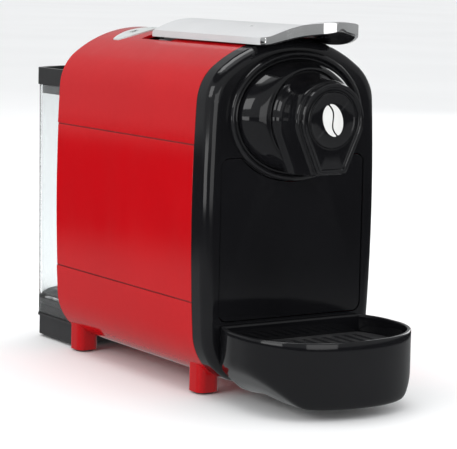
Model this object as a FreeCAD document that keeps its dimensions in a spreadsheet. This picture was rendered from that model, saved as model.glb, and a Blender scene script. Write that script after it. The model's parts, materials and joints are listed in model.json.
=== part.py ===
import FreeCAD, Part
import math
import os
import Sketcher

# A pod coffee machine. Millimetres, +Z up, the front faces -Y, +X is the right as seen from the front.
# The origin is on the ground, under the middle of the whole machine.

os.makedirs("parts", exist_ok=True)
doc = FreeCAD.newDocument("pod_coffee_machine")
sheet = doc.addObject("Spreadsheet::Sheet", "dims")
nodes = []


# ---------------------------------------------------------------- driving dimensions

class Dim:
    """A length with its value and the spreadsheet expression that gives it."""

    def __init__(self, value, text):
        self.value = float(value)
        self.text = text

    def __add__(self, other):
        other = dim(other)
        return Dim(self.value + other.value, f"({self.text} + {other.text})")

    def __radd__(self, other):
        return dim(other) + self

    def __sub__(self, other):
        other = dim(other)
        return Dim(self.value - other.value, f"({self.text} - {other.text})")

    def __rsub__(self, other):
        return dim(other) - self

    def __mul__(self, other):
        other = dim(other)
        return Dim(self.value * other.value, f"({self.text} * {other.text})")

    def __rmul__(self, other):
        return dim(other) * self

    def __truediv__(self, other):
        other = dim(other)
        return Dim(self.value / other.value, f"({self.text} / {other.text})")

    def __neg__(self):
        return Dim(-self.value, f"(0 - {self.text})")


def dim(number):
    return number if isinstance(number, Dim) else Dim(number, f"({float(number):.6f})")


def root(square):
    return Dim(math.sqrt(square.value), f"sqrt({square.text})")


def cell(alias, value):
    """Puts one driving dimension in the sheet and hands it back."""
    row = len(sheet.getUsedCells()) // 2 + 1
    sheet.set(f"A{row}", alias)
    sheet.set(f"B{row}", str(value))
    sheet.setAlias(f"B{row}", alias)
    return Dim(value, f"dims.{alias}")


crest = cell("arch_crest", 226.5)
arch = cell("arch_radius", 85)
bulge = cell("side_bulge_radius", 1187)
belly = cell("belly_height", 9)
shoulder = cell("shoulder_half_width", 62.5)
keel = cell("keel_half_width", 60.7)
shoulder_round = cell("shoulder_fillet", 30)
keel_round = cell("keel_fillet", 34)
wall = cell("shell_wall", 2.4)
front = cell("front_plane", -95)
seam = cell("bezel_seam", -79)
rear = cell("shell_rear", 100)
seam_gap = cell("seam_gap", 0.8)
upper_seam = cell("upper_seam_height", 160)
lower_seam = cell("lower_seam_height", 61)
foot_x = cell("foot_offset", 46)
foot_pad = cell("foot_pad_thickness", 1.2)
gap = cell("part_gap", 0.4)
fit = cell("running_fit", 0.06)

nose_height = cell("nose_height", 178)
ring_width = cell("ring_half_width", 50)
ring_tall = cell("ring_half_height", 41)
ring_rim = cell("ring_rim", 6)
boss_radius = cell("boss_radius", 24.5)
boss_drop = cell("boss_drop", 34.5)
boss_face = cell("boss_face", -132)
cap_radius = cell("cap_radius", 23)
cap_face = cell("cap_face", -136.5)
badge_radius = cell("badge_radius", 17.5)

pin_y = cell("lever_pin_depth", 22)
pin_z = cell("lever_pin_height", 217)
pin_radius = cell("lever_pin_radius", 2.5)
lever_half = cell("lever_half_width", 30)
lever_rear = cell("lever_rear", 32)
lever_skin = cell("lever_skin", 2)
crank_y = cell("crank_depth", 13.5)
crank_z = cell("crank_height", 212.5)
slide_y = cell("carriage_pin_depth", -28)
slide_z = cell("brew_axis_height", 173)
cage_radius = cell("cage_radius", 21)

panel_half = cell("panel_half_width", 54)
panel_low = cell("panel_bottom", 50.4)
panel_top = cell("panel_top", 152)
bin_half = cell("bin_half_width", 46)
bin_rear = cell("bin_rear", -14)
bin_top = cell("bin_top", 134)

tray_half = cell("tray_half_width", 59.5)
tray_rim = cell("tray_rim_height", 48)
tray_front = cell("tray_front", -177)
tray_wall = cell("tray_wall", 2.6)
tray_keel = cell("tray_keel_height", 6)
keel_half = cell("tray_keel_half_width", 38)
spout_foot = cell("spout_foot_height", 144.5)
grid_top = cell("grid_height", 37)

tank_half = cell("tank_half_width", 50)
tank_front = cell("tank_front", 102.4)
tank_side = cell("tank_side_end", 156)
tank_rear = cell("tank_rear", 175.8)
tank_foot = cell("tank_foot_height", 17.4)
tank_floor = cell("tank_floor_height", 30.5)
tank_top = cell("tank_top_height", 183)
tank_wall = cell("tank_wall", 2.2)
valve_y = cell("valve_depth", 128)

pump_x = cell("pump_offset", 22)
pump_z = cell("pump_height", 42)
meter_x = cell("flow_meter_offset", -20)
meter_y = cell("flow_meter_depth", 40)


# ---------------------------------------------------------------- drawing helpers

PLANES = {"XY": "XY_Plane", "XZ": "XZ_Plane", "YZ": "YZ_Plane"}


def node(feature, name):
    """Marks a finished feature as a piece of its own."""
    feature.Label = name
    nodes.append(feature)
    return feature


def bind(feature, **sizes):
    """Binds properties to the sheet: PlacementX means Placement.Base.x."""
    for key, size in sizes.items():
        path = f"Placement.Base.{key[-1].lower()}" if key.startswith("Placement") else key
        feature.setExpression(path, dim(size).text)
    return feature


def box(name, x, y, z):
    solid = doc.addObject("Part::Box", name)
    bind(solid, Length=dim(x[1]) - x[0], Width=dim(y[1]) - y[0], Height=dim(z[1]) - z[0])
    return bind(solid, PlacementX=x[0], PlacementY=y[0], PlacementZ=z[0])


def rod(name, axis, at, radius, span):
    """A cylinder along axis; at holds the two other coordinates in X, Y, Z order."""
    solid = doc.addObject("Part::Cylinder", name)
    turns = {"x": (0, 1, 0, 90), "y": (1, 0, 0, -90), "z": (0, 0, 1, 0)}
    turn = turns[axis]
    solid.Placement.Rotation = FreeCAD.Rotation(FreeCAD.Vector(*turn[:3]), turn[3])
    place = list(at)
    place.insert("xyz".index(axis), span[0])
    bind(solid, Radius=radius, Height=dim(span[1]) - span[0])
    return bind(solid, PlacementX=place[0], PlacementY=place[1], PlacementZ=place[2])


def cut(name, base, *tools):
    result = doc.addObject("Part::Cut", name)
    result.Base = base
    result.Tool = tools[0] if len(tools) == 1 else fuse(f"{name}_tools", *tools)
    return result


def fuse(name, *shapes):
    result = doc.addObject("Part::MultiFuse", name)
    result.Shapes = list(shapes)
    return result


def common(name, *shapes):
    result = doc.addObject("Part::MultiCommon", name)
    result.Shapes = list(shapes)
    return result


def arc_through(start, end, radius):
    """The arc between two points; a positive radius bulges to the right of the way from start to end."""
    chord = end - start
    half = chord.Length / 2
    away = FreeCAD.Vector(chord.y, -chord.x, 0).normalize()
    reach = math.sqrt(max(radius * radius - half * half, 0))
    side = 1 if radius > 0 else -1
    centre = (start + end) / 2 - away * reach * side
    crown = centre + away * abs(radius) * side
    return Part.Arc(start, crown, end) if radius > 0 else Part.Arc(end, crown, start)


def outline(body, name, plane, corners, offset):
    """A closed sketch; a corner is (u, v), or (u, v, radius) where an arc runs to the next corner."""
    sketch = body.newObject("Sketcher::SketchObject", name)
    origin = next(o for o in body.Origin.OriginFeatures if o.Role == PLANES[plane])
    sketch.AttachmentSupport = [(origin, "")]
    sketch.MapMode = "FlatFace"
    shift = -dim(offset) if plane == "XZ" else dim(offset)
    sketch.setExpression(".AttachmentOffset.Base.z", shift.text)
    count = len(corners)
    ends = []
    for i, corner in enumerate(corners):
        u, v = dim(corner[0]), dim(corner[1])
        after = corners[(i + 1) % count]
        start = FreeCAD.Vector(u.value, v.value, 0)
        end = FreeCAD.Vector(dim(after[0]).value, dim(after[1]).value, 0)
        if len(corner) == 3:
            curve = arc_through(start, end, dim(corner[2]).value)
            line = sketch.addGeometry(curve, False)
            forward = (sketch.Geometry[line].StartPoint - start).Length < 1e-6
            ends.append((line, 1, 2) if forward else (line, 2, 1))
        else:
            line = sketch.addGeometry(Part.LineSegment(start, end), False)
            ends.append((line, 1, 2))
    for i, corner in enumerate(corners):
        line, first, last = ends[i]
        following = ends[(i + 1) % count]
        u, v = dim(corner[0]), dim(corner[1])
        sketch.addConstraint(Sketcher.Constraint("Coincident", line, last, following[0], following[1]))
        pin(sketch, Sketcher.Constraint("DistanceX", line, first, u.value), u)
        pin(sketch, Sketcher.Constraint("DistanceY", line, first, v.value), v)
        if len(corner) == 3:
            radius = dim(corner[2])
            size = radius if radius.value > 0 else -radius
            pin(sketch, Sketcher.Constraint("Radius", line, size.value), size)
    return sketch


def pin(sketch, constraint, size):
    index = sketch.addConstraint(constraint)
    sketch.setExpression(f"Constraints[{index}]", size.text)


def prism(name, plane, corners, span, rounds=()):
    """A padded outline; rounds holds (radius, test of an edge) pairs, filleted in turn."""
    body = doc.addObject("PartDesign::Body", name)
    sketch = outline(body, f"{name}_outline", plane, corners, span[0])
    pad = body.newObject("PartDesign::Pad", f"{name}_pad")
    pad.Profile = sketch
    pad.Reversed = plane == "XZ"
    pad.setExpression("Length", (dim(span[1]) - span[0]).text)
    for i, (radius, test) in enumerate(rounds):
        doc.recompute()
        base = body.Tip
        edges = [f"Edge{n + 1}" for n, edge in enumerate(base.Shape.Edges) if test(edge)]
        fillet = body.newObject("PartDesign::Fillet", f"{name}_fillet{i}")
        fillet.Base = (base, edges)
        fillet.setExpression("Radius", dim(radius).text)
        body.Tip = fillet
    return body


def runs_along(axis, keep=lambda middle: True):
    """Picks straight edges along an axis whose middle passes the test."""
    def test(edge):
        box = edge.BoundBox
        sizes = {"x": box.XLength, "y": box.YLength, "z": box.ZLength}
        across = [sizes[a] for a in "xyz" if a != axis]
        return max(across) < 1e-3 and sizes[axis] > 0.1 and keep(box.Center)
    return test


def lies_at(axis, place):
    """Picks the edges that lie flat in the plane axis = place."""
    def test(edge):
        box = edge.BoundBox
        low, high = {"x": (box.XMin, box.XMax), "y": (box.YMin, box.YMax), "z": (box.ZMin, box.ZMax)}[axis]
        return abs(low - dim(place).value) < 1e-3 and abs(high - dim(place).value) < 1e-3
    return test


def mirrored(name, source):
    """The same piece on the other side of the machine."""
    copy = doc.addObject("Part::Mirroring", name)
    copy.Source = source
    copy.Normal = FreeCAD.Vector(1, 0, 0)
    return copy


def hull(name, inset, span, face_round=None):
    """The machine's arched body section, drawn in by inset."""
    low, high = keel - inset, shoulder - inset
    peak = crest - arch + root((arch - inset) * (arch - inset) - high * high)
    corners = [(-low, belly + inset), (low, belly + inset, bulge - inset), (high, peak, arch - inset),
               (-high, peak, bulge - inset)]
    middle = (belly.value + crest.value) / 2
    rounds = [(shoulder_round - inset, runs_along("y", lambda c: c.z > middle)),
              (keel_round - inset, runs_along("y", lambda c: c.z < middle))]
    if face_round is not None:
        rounds.append((face_round, lies_at("y", span[0])))
    return prism(name, "XZ", corners, span, rounds)


def shell(name, span, height, thickness=wall, inset=0.0):
    """The part of the hollow body between two heights."""
    outer = hull(f"{name}_outer", inset, span)
    inner = hull(f"{name}_inner", dim(inset) + thickness, (dim(span[0]) - 1, dim(span[1]) + 1))
    hollow = cut(f"{name}_hollow", outer, inner)
    slab = box(f"{name}_slab", (-90, 90), (-120, 120), height)
    return common(f"{name}_band", hollow, slab)


def ellipse_plug(name, half_width, half_height, span):
    """An elliptical cylinder along Y, centred on the nose."""
    curve = doc.addObject("Part::Ellipse", f"{name}_curve")
    curve.Placement.Rotation = FreeCAD.Rotation(FreeCAD.Vector(1, 0, 0), 90)
    bind(curve, MajorRadius=half_width, MinorRadius=half_height, PlacementY=span[0], PlacementZ=nose_height)
    plug = doc.addObject("Part::Extrusion", name)
    plug.Base = curve
    plug.Dir = FreeCAD.Vector(0, 1, 0)
    plug.Solid = True
    plug.setExpression("LengthFwd", (dim(span[1]) - span[0]).text)
    return plug


def teardrop(radius, foot_half, drop):
    """A circle whose sides run tangent down to a short flat foot, round the nose height."""
    reach = foot_half * foot_half + drop * drop
    side = root(reach - radius * radius)
    touch_x = (radius * radius * foot_half + radius * side * drop) / reach
    touch_z = nose_height + (radius * side * foot_half - radius * radius * drop) / reach
    foot_z = nose_height - drop
    top = nose_height + radius
    return [(-foot_half, foot_z), (foot_half, foot_z), (touch_x, touch_z, radius), (0, top, radius),
            (-touch_x, touch_z)]


def rounded(half_width, low, high):
    return [(-dim(half_width), low), (half_width, low), (half_width, high), (-dim(half_width), high)]


def hose(name, points, radius, bend):
    """A round hose: straight runs joined by tangent arcs."""
    route = [FreeCAD.Vector(*(dim(c).value for c in point)) for point in points]
    edges = []
    here = route[0]
    for before, corner, after in zip(route, route[1:], route[2:]):
        back = (before - corner).normalize()
        ahead = (after - corner).normalize()
        half = back.getAngle(ahead) / 2
        trim = dim(bend).value / math.tan(half)
        middle = (back + ahead).normalize()
        centre = corner + middle * (dim(bend).value / math.sin(half))
        edges.append(Part.makeLine(here, corner + back * trim))
        crown = centre - middle * dim(bend).value
        edges.append(Part.Arc(corner + back * trim, crown, corner + ahead * trim).toShape())
        here = corner + ahead * trim
    edges.append(Part.makeLine(here, route[-1]))
    path = Part.Wire(edges)
    profile = Part.Wire(Part.makeCircle(dim(radius).value, route[0], (route[1] - route[0]).normalize()))
    feature = doc.addObject("Part::Feature", name)
    feature.Shape = path.makePipeShell([profile], True, False)
    feature.Placement = FreeCAD.Placement()
    return feature


def coil_spring(name, base, axis, radius, wire, length, turns):
    """A round wire spring standing on base along axis."""
    pitch = (length - 2 * wire) / turns
    helix = Part.makeHelix(pitch, pitch * turns, radius)
    circle = Part.Wire(Part.makeCircle(wire, FreeCAD.Vector(radius, 0, 0), FreeCAD.Vector(0, 1, 0)))
    shape = Part.Wire(helix).makePipeShell([circle], True, True)
    shape.translate(FreeCAD.Vector(0, 0, wire))
    feature = doc.addObject("Part::Feature", name)
    feature.Shape = shape
    turn = FreeCAD.Rotation(FreeCAD.Vector(0, 0, 1), FreeCAD.Vector(*axis))
    feature.Placement = FreeCAD.Placement(FreeCAD.Vector(*(dim(c).value for c in base)), turn)
    return feature


# ---------------------------------------------------------------- red shells

shell_front = seam + 0.4
feet_y = ((-74, -58), (84, 100))
leaf_front = 18.6
leaf_rear = 29.7


def leaf(name, grow, span):
    """The left button's outline, a pointed leaf; grow makes the hole for it."""
    near = dim(2.5) - grow
    far = dim(35.5) + grow
    corners = [(-far, 68 - grow, leaf_front + grow), (-near, 70 - grow), (-near, 76 + grow, leaf_rear + grow),
               (-far, 75 + grow)]
    return prism(name, "XY", corners, span)


def top_shell():
    band = shell("top_shell", (shell_front, rear), (upper_seam + seam_gap / 2, 240))
    slot = box("lever_slot", (-24, 24), (shell_front - 1, 10), (195, 240))
    well = box("lever_heel_slot", (-lever_half - 1.2, lever_half + 1.2), (6, pin_y + 22.5), (195, 240))
    hole = leaf("button_hole", gap, (205, 240))
    lens = rod("lens_hole", "z", (0, 73), 1.9, (205, 240))
    return cut("top_shell_cut", band, slot, well, hole, mirrored("button_hole_right", hole), lens)


def base_shell():
    band = shell("base_shell", (shell_front, rear), (0, lower_seam - seam_gap / 2))
    blocks = []
    for y0, y1 in feet_y:
        for side in (-1, 1):
            name = f"foot_{'left' if side < 0 else 'right'}_{'front' if y0 < 0 else 'rear'}"
            inner = foot_x * side - 8
            outer = foot_x * side + 8
            corners = [(inner, y0), (outer, y0), (outer, y1), (inner, y1)]
            blocks.append(prism(name, "XY", corners, (foot_pad, 26), [(5, runs_along("z"))]))
    room = hull("foot_room", wall, (-90, 110))
    feet = cut("feet_outside", fuse("feet_blocks", *blocks), room)
    return fuse("base_shell_with_feet", band, feet)


def side_panel(side):
    name = "side_panel_left" if side < 0 else "side_panel_right"
    heights = (lower_seam + seam_gap / 2, upper_seam - seam_gap / 2)
    band = shell(name, (shell_front, rear - 0.6), heights)
    spread = (-90, 0) if side < 0 else (0, 90)
    half = box(f"{name}_half", spread, (-120, 120), (0, 240))
    return common(f"{name}_side", band, half)


node(top_shell(), "top_shell")
node(base_shell(), "base_shell")
node(side_panel(-1), "side_panel_left")
node(side_panel(1), "side_panel_right")


# ---------------------------------------------------------------- rear cover, feet pads, gland, screws

gland_x, gland_z = 55.3, 42
screw_spots = ((-56.5, 80), (56.5, 80), (-55, 176), (55, 176))


def rear_cover():
    plate = hull("rear_cover_plate", wall + 0.3, (rear - 4.4, rear - 0.6))
    vents = [box(f"vent{i}", (-24, 24), (rear - 6, rear + 1), (200 + 5 * i, 202 + 5 * i)) for i in range(3)]
    holes = [rod(f"cover_hole{i}", "y", (x, z), 1.7, (rear - 6, rear + 1))
             for i, (x, z) in enumerate(screw_spots)]
    gland = rod("gland_hole", "y", (gland_x, gland_z), 4.1, (rear - 6, rear + 1))
    return cut("rear_cover_cut", plate, *vents, *holes, gland)


def rubber_feet():
    pads = [rod(f"pad_{i}", "z", (foot_x * side, (y0 + y1) / 2), 6.5, (0, foot_pad))
            for i, (y0, y1) in enumerate(feet_y) for side in (-1, 1)]
    return fuse("rubber_feet_group", *pads)


def cord_gland():
    flange = rod("gland_flange", "y", (gland_x, gland_z), 5.2, (rear - 0.6, rear + 1.6))
    neck = rod("gland_neck", "y", (gland_x, gland_z), 4.0, (rear - 6.6, rear + 1))
    sleeve = rod("gland_sleeve", "y", (gland_x, gland_z), 4.6, (rear + 1, rear + 9))
    bore = rod("gland_bore", "y", (gland_x, gland_z), 3.1, (rear - 8, rear + 10))
    return cut("cord_gland_tube", fuse("gland_solid", flange, neck, sleeve), bore)


def shell_screws():
    parts = []
    for i, (x, z) in enumerate(screw_spots):
        parts.append(rod(f"screw_head{i}", "y", (x, z), 3.0, (rear - 0.6, rear + 1.2)))
        parts.append(rod(f"screw_shank{i}", "y", (x, z), 1.45, (rear - 8, rear - 0.6)))
    return fuse("shell_screws_group", *parts)


node(rear_cover(), "rear_cover")
node(rubber_feet(), "rubber_feet")
node(cord_gland(), "cord_gland")
node(shell_screws(), "shell_screws")


# ---------------------------------------------------------------- black front

def panel_plug(name, grow, span):
    """The drawer front's outline: a rectangle notched by the nose ring."""
    grow = dim(grow)
    corners = rounded(panel_half + grow, panel_low - grow, panel_top + grow)
    plate = prism(f"{name}_plate", "XZ", corners, span, [(6, runs_along("y"))])
    notch = ellipse_plug(f"{name}_notch", ring_width + 0.8 - grow, ring_tall + 0.8 - grow,
                         (dim(span[0]) - 1, dim(span[1]) + 1))
    return cut(name, plate, notch)


def front_frame():
    solid = hull("front_frame_solid", 0, (front, seam), 7)
    core = hull("front_frame_core", 3, (front + 3, seam + 1))
    drawer = panel_plug("drawer_opening", 0.6, (front - 1, seam + 1))
    outlet = ellipse_plug("outlet_opening", 34, 28, (front - 1, seam + 1))
    tongue = box("tongue_opening", (-43, 43), (front - 1, seam + 1), (13.5, 47))
    return cut("front_frame_cut", solid, core, drawer, outlet, tongue)


def nose_ring():
    outer = ellipse_plug("nose_ring_outer", ring_width, ring_tall, (front - 4, front))
    inner = ellipse_plug("nose_ring_inner", ring_width - ring_rim, ring_tall - ring_rim,
                         (front - 5, front + 1))
    return cut("nose_ring_band", outer, inner)


def nose_bell():
    sections = []
    for i, (half_width, half_height, y) in enumerate(((43.6, 34.6, front), (36, 32.5, front - 8),
                                                      (31.5, 31, front - 20))):
        curve = doc.addObject("Part::Ellipse", f"bell_section{i}")
        curve.Placement.Rotation = FreeCAD.Rotation(FreeCAD.Vector(1, 0, 0), 90)
        bind(curve, MajorRadius=half_width, MinorRadius=half_height, PlacementY=y, PlacementZ=nose_height)
        sections.append(curve)
    bell = doc.addObject("Part::Loft", "nose_bell_loft")
    bell.Sections = sections
    bell.Solid = True
    throat = rod("bell_throat", "y", (0, nose_height), 20, (front - 12, front + 1))
    return cut("nose_bell_hollow", bell, throat)


def nose_boss():
    rounds = [(3, runs_along("y", lambda c: c.z < nose_height.value - 30)), (1.5, lies_at("y", boss_face))]
    drop = prism("nose_boss_drop", "XZ", teardrop(boss_radius, dim(11.5), boss_drop),
                 (boss_face, front - 20), rounds)
    spout = rod("boss_spout_hole", "z", (0, front - 29), 4.6, (130, 156))
    return cut("nose_boss_cut", drop, spout)


def nose_cap():
    rounds = [(3, runs_along("y", lambda c: c.z < nose_height.value - 28)), (1.2, lies_at("y", cap_face))]
    drop = prism("nose_cap_drop", "XZ", teardrop(cap_radius, dim(10.5), boss_drop - 1.5),
                 (cap_face, boss_face), rounds)
    dish = rod("nose_cap_dish", "y", (0, nose_height), badge_radius + 0.2, (cap_face - 1, cap_face + 1.8))
    return cut("nose_cap_dished", drop, dish)


def coffee_spout():
    tube = rod("spout_tube", "z", (0, front - 29), 4.5, (spout_foot, 156))
    bore = rod("spout_bore", "z", (0, front - 29), 2.6, (139, 154))
    return cut("coffee_spout_tube", tube, bore)


node(front_frame(), "front_frame")
node(nose_ring(), "nose_ring")
node(nose_bell(), "nose_bell")
node(nose_boss(), "nose_boss")
node(nose_cap(), "nose_cap")
node(rod("nose_badge_disc", "y", (0, nose_height), badge_radius, (cap_face + 0.6, cap_face + 1.8)),
     "nose_badge")
node(coffee_spout(), "coffee_spout")


# ---------------------------------------------------------------- used-capsule drawer

def drawer_front():
    return panel_plug("drawer_front_panel", 0, (front + 0.4, front + 4.4))


def capsule_bin():
    solid = box("bin_outer", (-bin_half, bin_half), (front + 4.4, bin_rear), (57, bin_top))
    hollow = box("bin_inner", (-bin_half + 2, bin_half - 2), (front + 6.4, bin_rear - 2), (59, bin_top + 1))
    return cut("capsule_bin_box", solid, hollow)


def drawer_rails():
    rails = [box(f"rail_{i}", (x, x + 5), (seam, bin_rear + 2), (53.6, 56.6)) for i, x in enumerate((-44, 39))]
    return fuse("drawer_rails_pair", *rails)


node(drawer_front(), "drawer_front")
node(capsule_bin(), "capsule_bin")


# ---------------------------------------------------------------- drip tray and grid

def tray_plan(name, inset, span):
    """The tray's D-shaped plan: drawn in a little at the machine, round in front."""
    inset = dim(inset)
    half = tray_half - inset
    back = front - 1 - inset
    taper = back - 18
    side = dim(-137)
    reach = side - (tray_front + inset)
    radius = (half * half + reach * reach) / (2 * reach)
    corners = [(6 - half, back), (-half, taper), (-half, side, radius), (half, side), (half, taper),
               (half - 6, back)]
    body = prism(name, "XY", corners, span, [(16 - inset, runs_along("z", lambda c: c.y < -130)),
                                             (5, runs_along("z", lambda c: c.y > -120))])
    return body


def tray_section(name, keel, half, span):
    """The tray's cross-section along its length: a level keel and sides that slope out at the bottom."""
    spread = dim(70)
    shoulder = keel + (spread - half) * 0.95
    corners = [(-half, keel), (half, keel), (spread, shoulder), (spread, 60), (-spread, 60), (-spread, shoulder)]
    return prism(name, "XZ", corners, span)


def drip_tray():
    plan = tray_plan("tray_outer", 0, (tray_keel, tray_rim))
    solid = common("tray_hull", plan, tray_section("tray_outer_section", tray_keel, keel_half, (-190, -90)))
    bowl_plan = tray_plan("tray_bowl_plan", tray_wall, (tray_keel + tray_wall, tray_rim + 1))
    section = tray_section("tray_bowl_section", tray_keel + tray_wall, keel_half - 1.1, (-190, -90))
    bowl = common("tray_bowl", bowl_plan, section)
    tongues = [box(f"tray_tongue{i}", (x, x + 8), (front - 3, -45), (22, 28)) for i, x in enumerate((-38, 30))]
    return fuse("tray_with_tongues", cut("tray_shaped", solid, bowl), *tongues)


def drip_grid():
    plate = tray_plan("grid_plate", tray_wall + 0.5, (grid_top - 2.4, grid_top))
    bars = [box(f"grid_slot{i}", (-48 + 8 * i, -44 + 8 * i), (-158 + abs(i - 5.75) * 1.5, -106),
                (grid_top - 4, grid_top + 1)) for i in range(12)]
    return cut("drip_grid_slots", plate, *bars)


def grid_ledge():
    outer = tray_plan("ledge_outer", tray_wall, (grid_top - 5, grid_top - 2.4))
    inner = tray_plan("ledge_inner", tray_wall + 3, (grid_top - 6, grid_top))
    return cut("grid_ledge_ring", outer, inner)


def tray_rails():
    rails = [box(f"tray_rail_{i}", (x, x + 10), (-88, -46), (19, 21.7)) for i, x in enumerate((-39, 29))]
    return fuse("tray_rails_pair", *rails)


node(fuse("drip_tray_whole", drip_tray(), grid_ledge()), "drip_tray")
node(drip_grid(), "drip_grid")
node(fuse("guide_rails_set", drawer_rails(), tray_rails()), "guide_rails")


# ---------------------------------------------------------------- water tank and its base

def tank_plan(name, inset, span):
    """The tank's plan: straight front and sides, curved back."""
    inset = dim(inset)
    half = tank_half - inset
    reach = tank_rear - tank_side
    radius = (tank_half * tank_half + reach * reach) / (2 * reach) - inset
    end = tank_rear - inset - radius + root(radius * radius - half * half)
    corners = [(-half, tank_front + inset), (half, tank_front + inset), (half, end, radius), (-half, end)]
    return prism(name, "XY", corners, span, [(5 - inset * 0.8, runs_along("z"))])


def water_tank():
    solid = tank_plan("tank_outer", 0, (tank_foot, tank_top))
    room = tank_plan("tank_room", tank_wall, (tank_floor, tank_top + 1))
    skirt = tank_plan("tank_skirt", tank_wall, (tank_foot - 1, tank_floor - tank_wall))
    hole = rod("tank_valve_hole", "z", (0, valve_y), 5.2, (tank_foot, tank_floor + 2))
    return cut("water_tank_hollow", solid, room, skirt, hole)


def tank_lid():
    plate = tank_plan("lid_plate", -1.2, (tank_top + 0.4, tank_top + 12.4))
    dish = tank_plan("lid_dish", 3, (tank_top + 6, tank_top + 13))
    under = tank_plan("lid_under", 4.5, (tank_top, tank_top + 3.4))
    collar = tank_plan("lid_collar", tank_wall + 0.6, (tank_top - 6, tank_top + 0.4))
    bore = tank_plan("lid_bore", tank_wall + 2.4, (tank_top - 7, tank_top + 3.4))
    return cut("tank_lid_dished", fuse("lid_solid", plate, collar), dish, under, bore)


def tank_valve():
    stem = rod("valve_stem", "z", (0, valve_y), 2.0, (21.5, tank_floor + 6))
    seat = rod("valve_seat", "z", (0, valve_y), 7.5, (tank_floor + 0.3, tank_floor + 3))
    return fuse("tank_valve_poppet", stem, seat)


def tank_base():
    block = tank_plan("base_block", 1.4, (1.8, 15.4))
    ledge = tank_plan("base_ledge", 0.3, (15.4, tank_foot - 0.3))
    plug = tank_plan("base_plug", tank_wall + 1, (tank_foot - 0.3, 24))
    bridge = box("base_bridge", (-30, 30), (rear - 0.6, 112), (14, 17))
    hollow = box("base_hollow", (-42, 42), (110, 142), (0, 12.5))
    cup = rod("base_cup", "z", (0, valve_y), 9, (13.5, 30))
    return cut("tank_base_moulding", fuse("base_solid", block, ledge, plug, bridge), hollow, cup)


def tank_coupling():
    cup = rod("coupling_cup", "z", (0, valve_y), 8.8, (13.5, 24))
    bore = rod("coupling_bore", "z", (0, valve_y), 5.6, (21, 25))
    duct = rod("coupling_duct", "z", (0, valve_y), 1.5, (16, 22))
    return cut("tank_coupling_seat", cup, bore, duct)


node(water_tank(), "water_tank")
node(tank_lid(), "tank_lid")
node(tank_valve(), "tank_valve")
node(coil_spring("valve_spring_coil", (0, valve_y, tank_floor + 3.7), (0, 0, 1), 4.2, 0.5, 8.8, 4), "valve_spring")
node(tank_base(), "tank_base")
node(tank_coupling(), "tank_coupling")


def valve_cage():
    """A small bridge in the tank that holds the spring down."""
    legs = rod("valve_cage_tube", "z", (0, valve_y), 11, (tank_floor, tank_floor + 15))
    room = rod("valve_cage_room", "z", (0, valve_y), 8.4, (tank_floor - 1, tank_floor + 12.6))
    windows = [box("valve_window_x", (-20, 20), (valve_y - 5, valve_y + 5), (tank_floor + 1.5, tank_floor + 9)),
               box("valve_window_y", (-5, 5), (valve_y - 20, valve_y + 20), (tank_floor + 1.5, tank_floor + 9))]
    return cut("valve_cage_moulding", legs, room, *windows)


node(valve_cage(), "valve_cage")


# ---------------------------------------------------------------- lever

def lever_stations():
    """Half width, crest, edge top, edge bottom and underside crest of the lever from heel to tip."""
    return ((lever_rear, lever_half, 235, 227, 222.6, 228.4),
            (front - 3, lever_half, 235, 227, 222.6, 228.4),
            (front - 16, 29.4, 235.8, 229, 224.4, 229.6),
            (front - 31, 25.5, 237.4, 233.4, 228.6, 231.6),
            (front - 43, 17.5, 238.8, 237, 231.8, 233.2),
            (front - 50.5, 7, 238, 237.4, 233.4, 234))


def lever_loft(name, inset, drop):
    """The lever's domed plate; inset and drop draw the section in for the skirt's hollow."""
    body = doc.addObject("PartDesign::Body", name)
    sketches = []
    for i, (y, half, top, edge, low, under) in enumerate(lever_stations()):
        half = dim(half) - inset
        rise = dim(top) - edge
        sag = dim(under) - low
        crown = (half * half + rise * rise) / (2 * rise)
        belly_arc = (half * half + sag * sag) / (2 * sag)
        corners = [(-half, dim(low) - drop), (-half, dim(edge) - inset, -crown), (half, dim(edge) - inset),
                   (half, dim(low) - drop, belly_arc)]
        sketches.append(outline(body, f"{name}_section{i}", "XZ", corners, y))
    loft = body.newObject("PartDesign::AdditiveLoft", f"{name}_loft")
    loft.Profile = sketches[0]
    loft.Sections = sketches[1:]
    loft.Ruled = True
    body.Tip = loft
    return body


def lever_shell():
    plate = lever_loft("lever_plate", 0, 0)
    hollow = lever_loft("lever_hollow", lever_skin, 3)
    keep = box("lever_hollow_span", (-40, 40), (front - 48, lever_rear - lever_skin), (200, 250))
    return cut("lever_shell_skin", plate, common("lever_room", hollow, keep))


def lever_insert():
    """The black underside pressed into the lever's skirt."""
    filler = lever_loft("lever_filler", lever_skin + 0.1, -0.5)
    keep = box("insert_span", (-40, 40), (front - 47, 6), (200, 250))
    return common("lever_insert_plate", filler, keep)


def lever_arms():
    arms = []
    for i, x in enumerate((-23.5, 19.5)):
        boss = rod(f"arm_boss{i}", "x", (pin_y, pin_z), 5.5, (x, x + 4))
        crank = rod(f"arm_crank{i}", "x", (crank_y, crank_z), 4.5, (x, x + 4))
        web = prism(f"arm_web{i}", "YZ",
                    [(crank_y - 4.5, crank_z), (crank_y + 2, crank_z - 4), (pin_y + 4, pin_z - 3.5),
                     (pin_y + 6.5, 227.5), (crank_y - 4.5, 227.5)], (x, x + 4))
        arms.append(fuse(f"arm{i}", boss, crank, web))
    bridge = box("arm_bridge", (-27, 27), (8, 29.5), (227.4, 228.6))
    bore = rod("arm_bore", "x", (pin_y, pin_z), pin_radius + fit, (-40, 40))
    eye = rod("arm_eye", "x", (crank_y, crank_z), 2.0, (-40, 40))
    under = lever_loft("arm_roof", lever_skin + 0.1, 30)
    roofed = common("arms_under_roof", fuse("arms_raw", *arms, bridge), under)
    return cut("lever_arms_pair", roofed, bore, eye)


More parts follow.
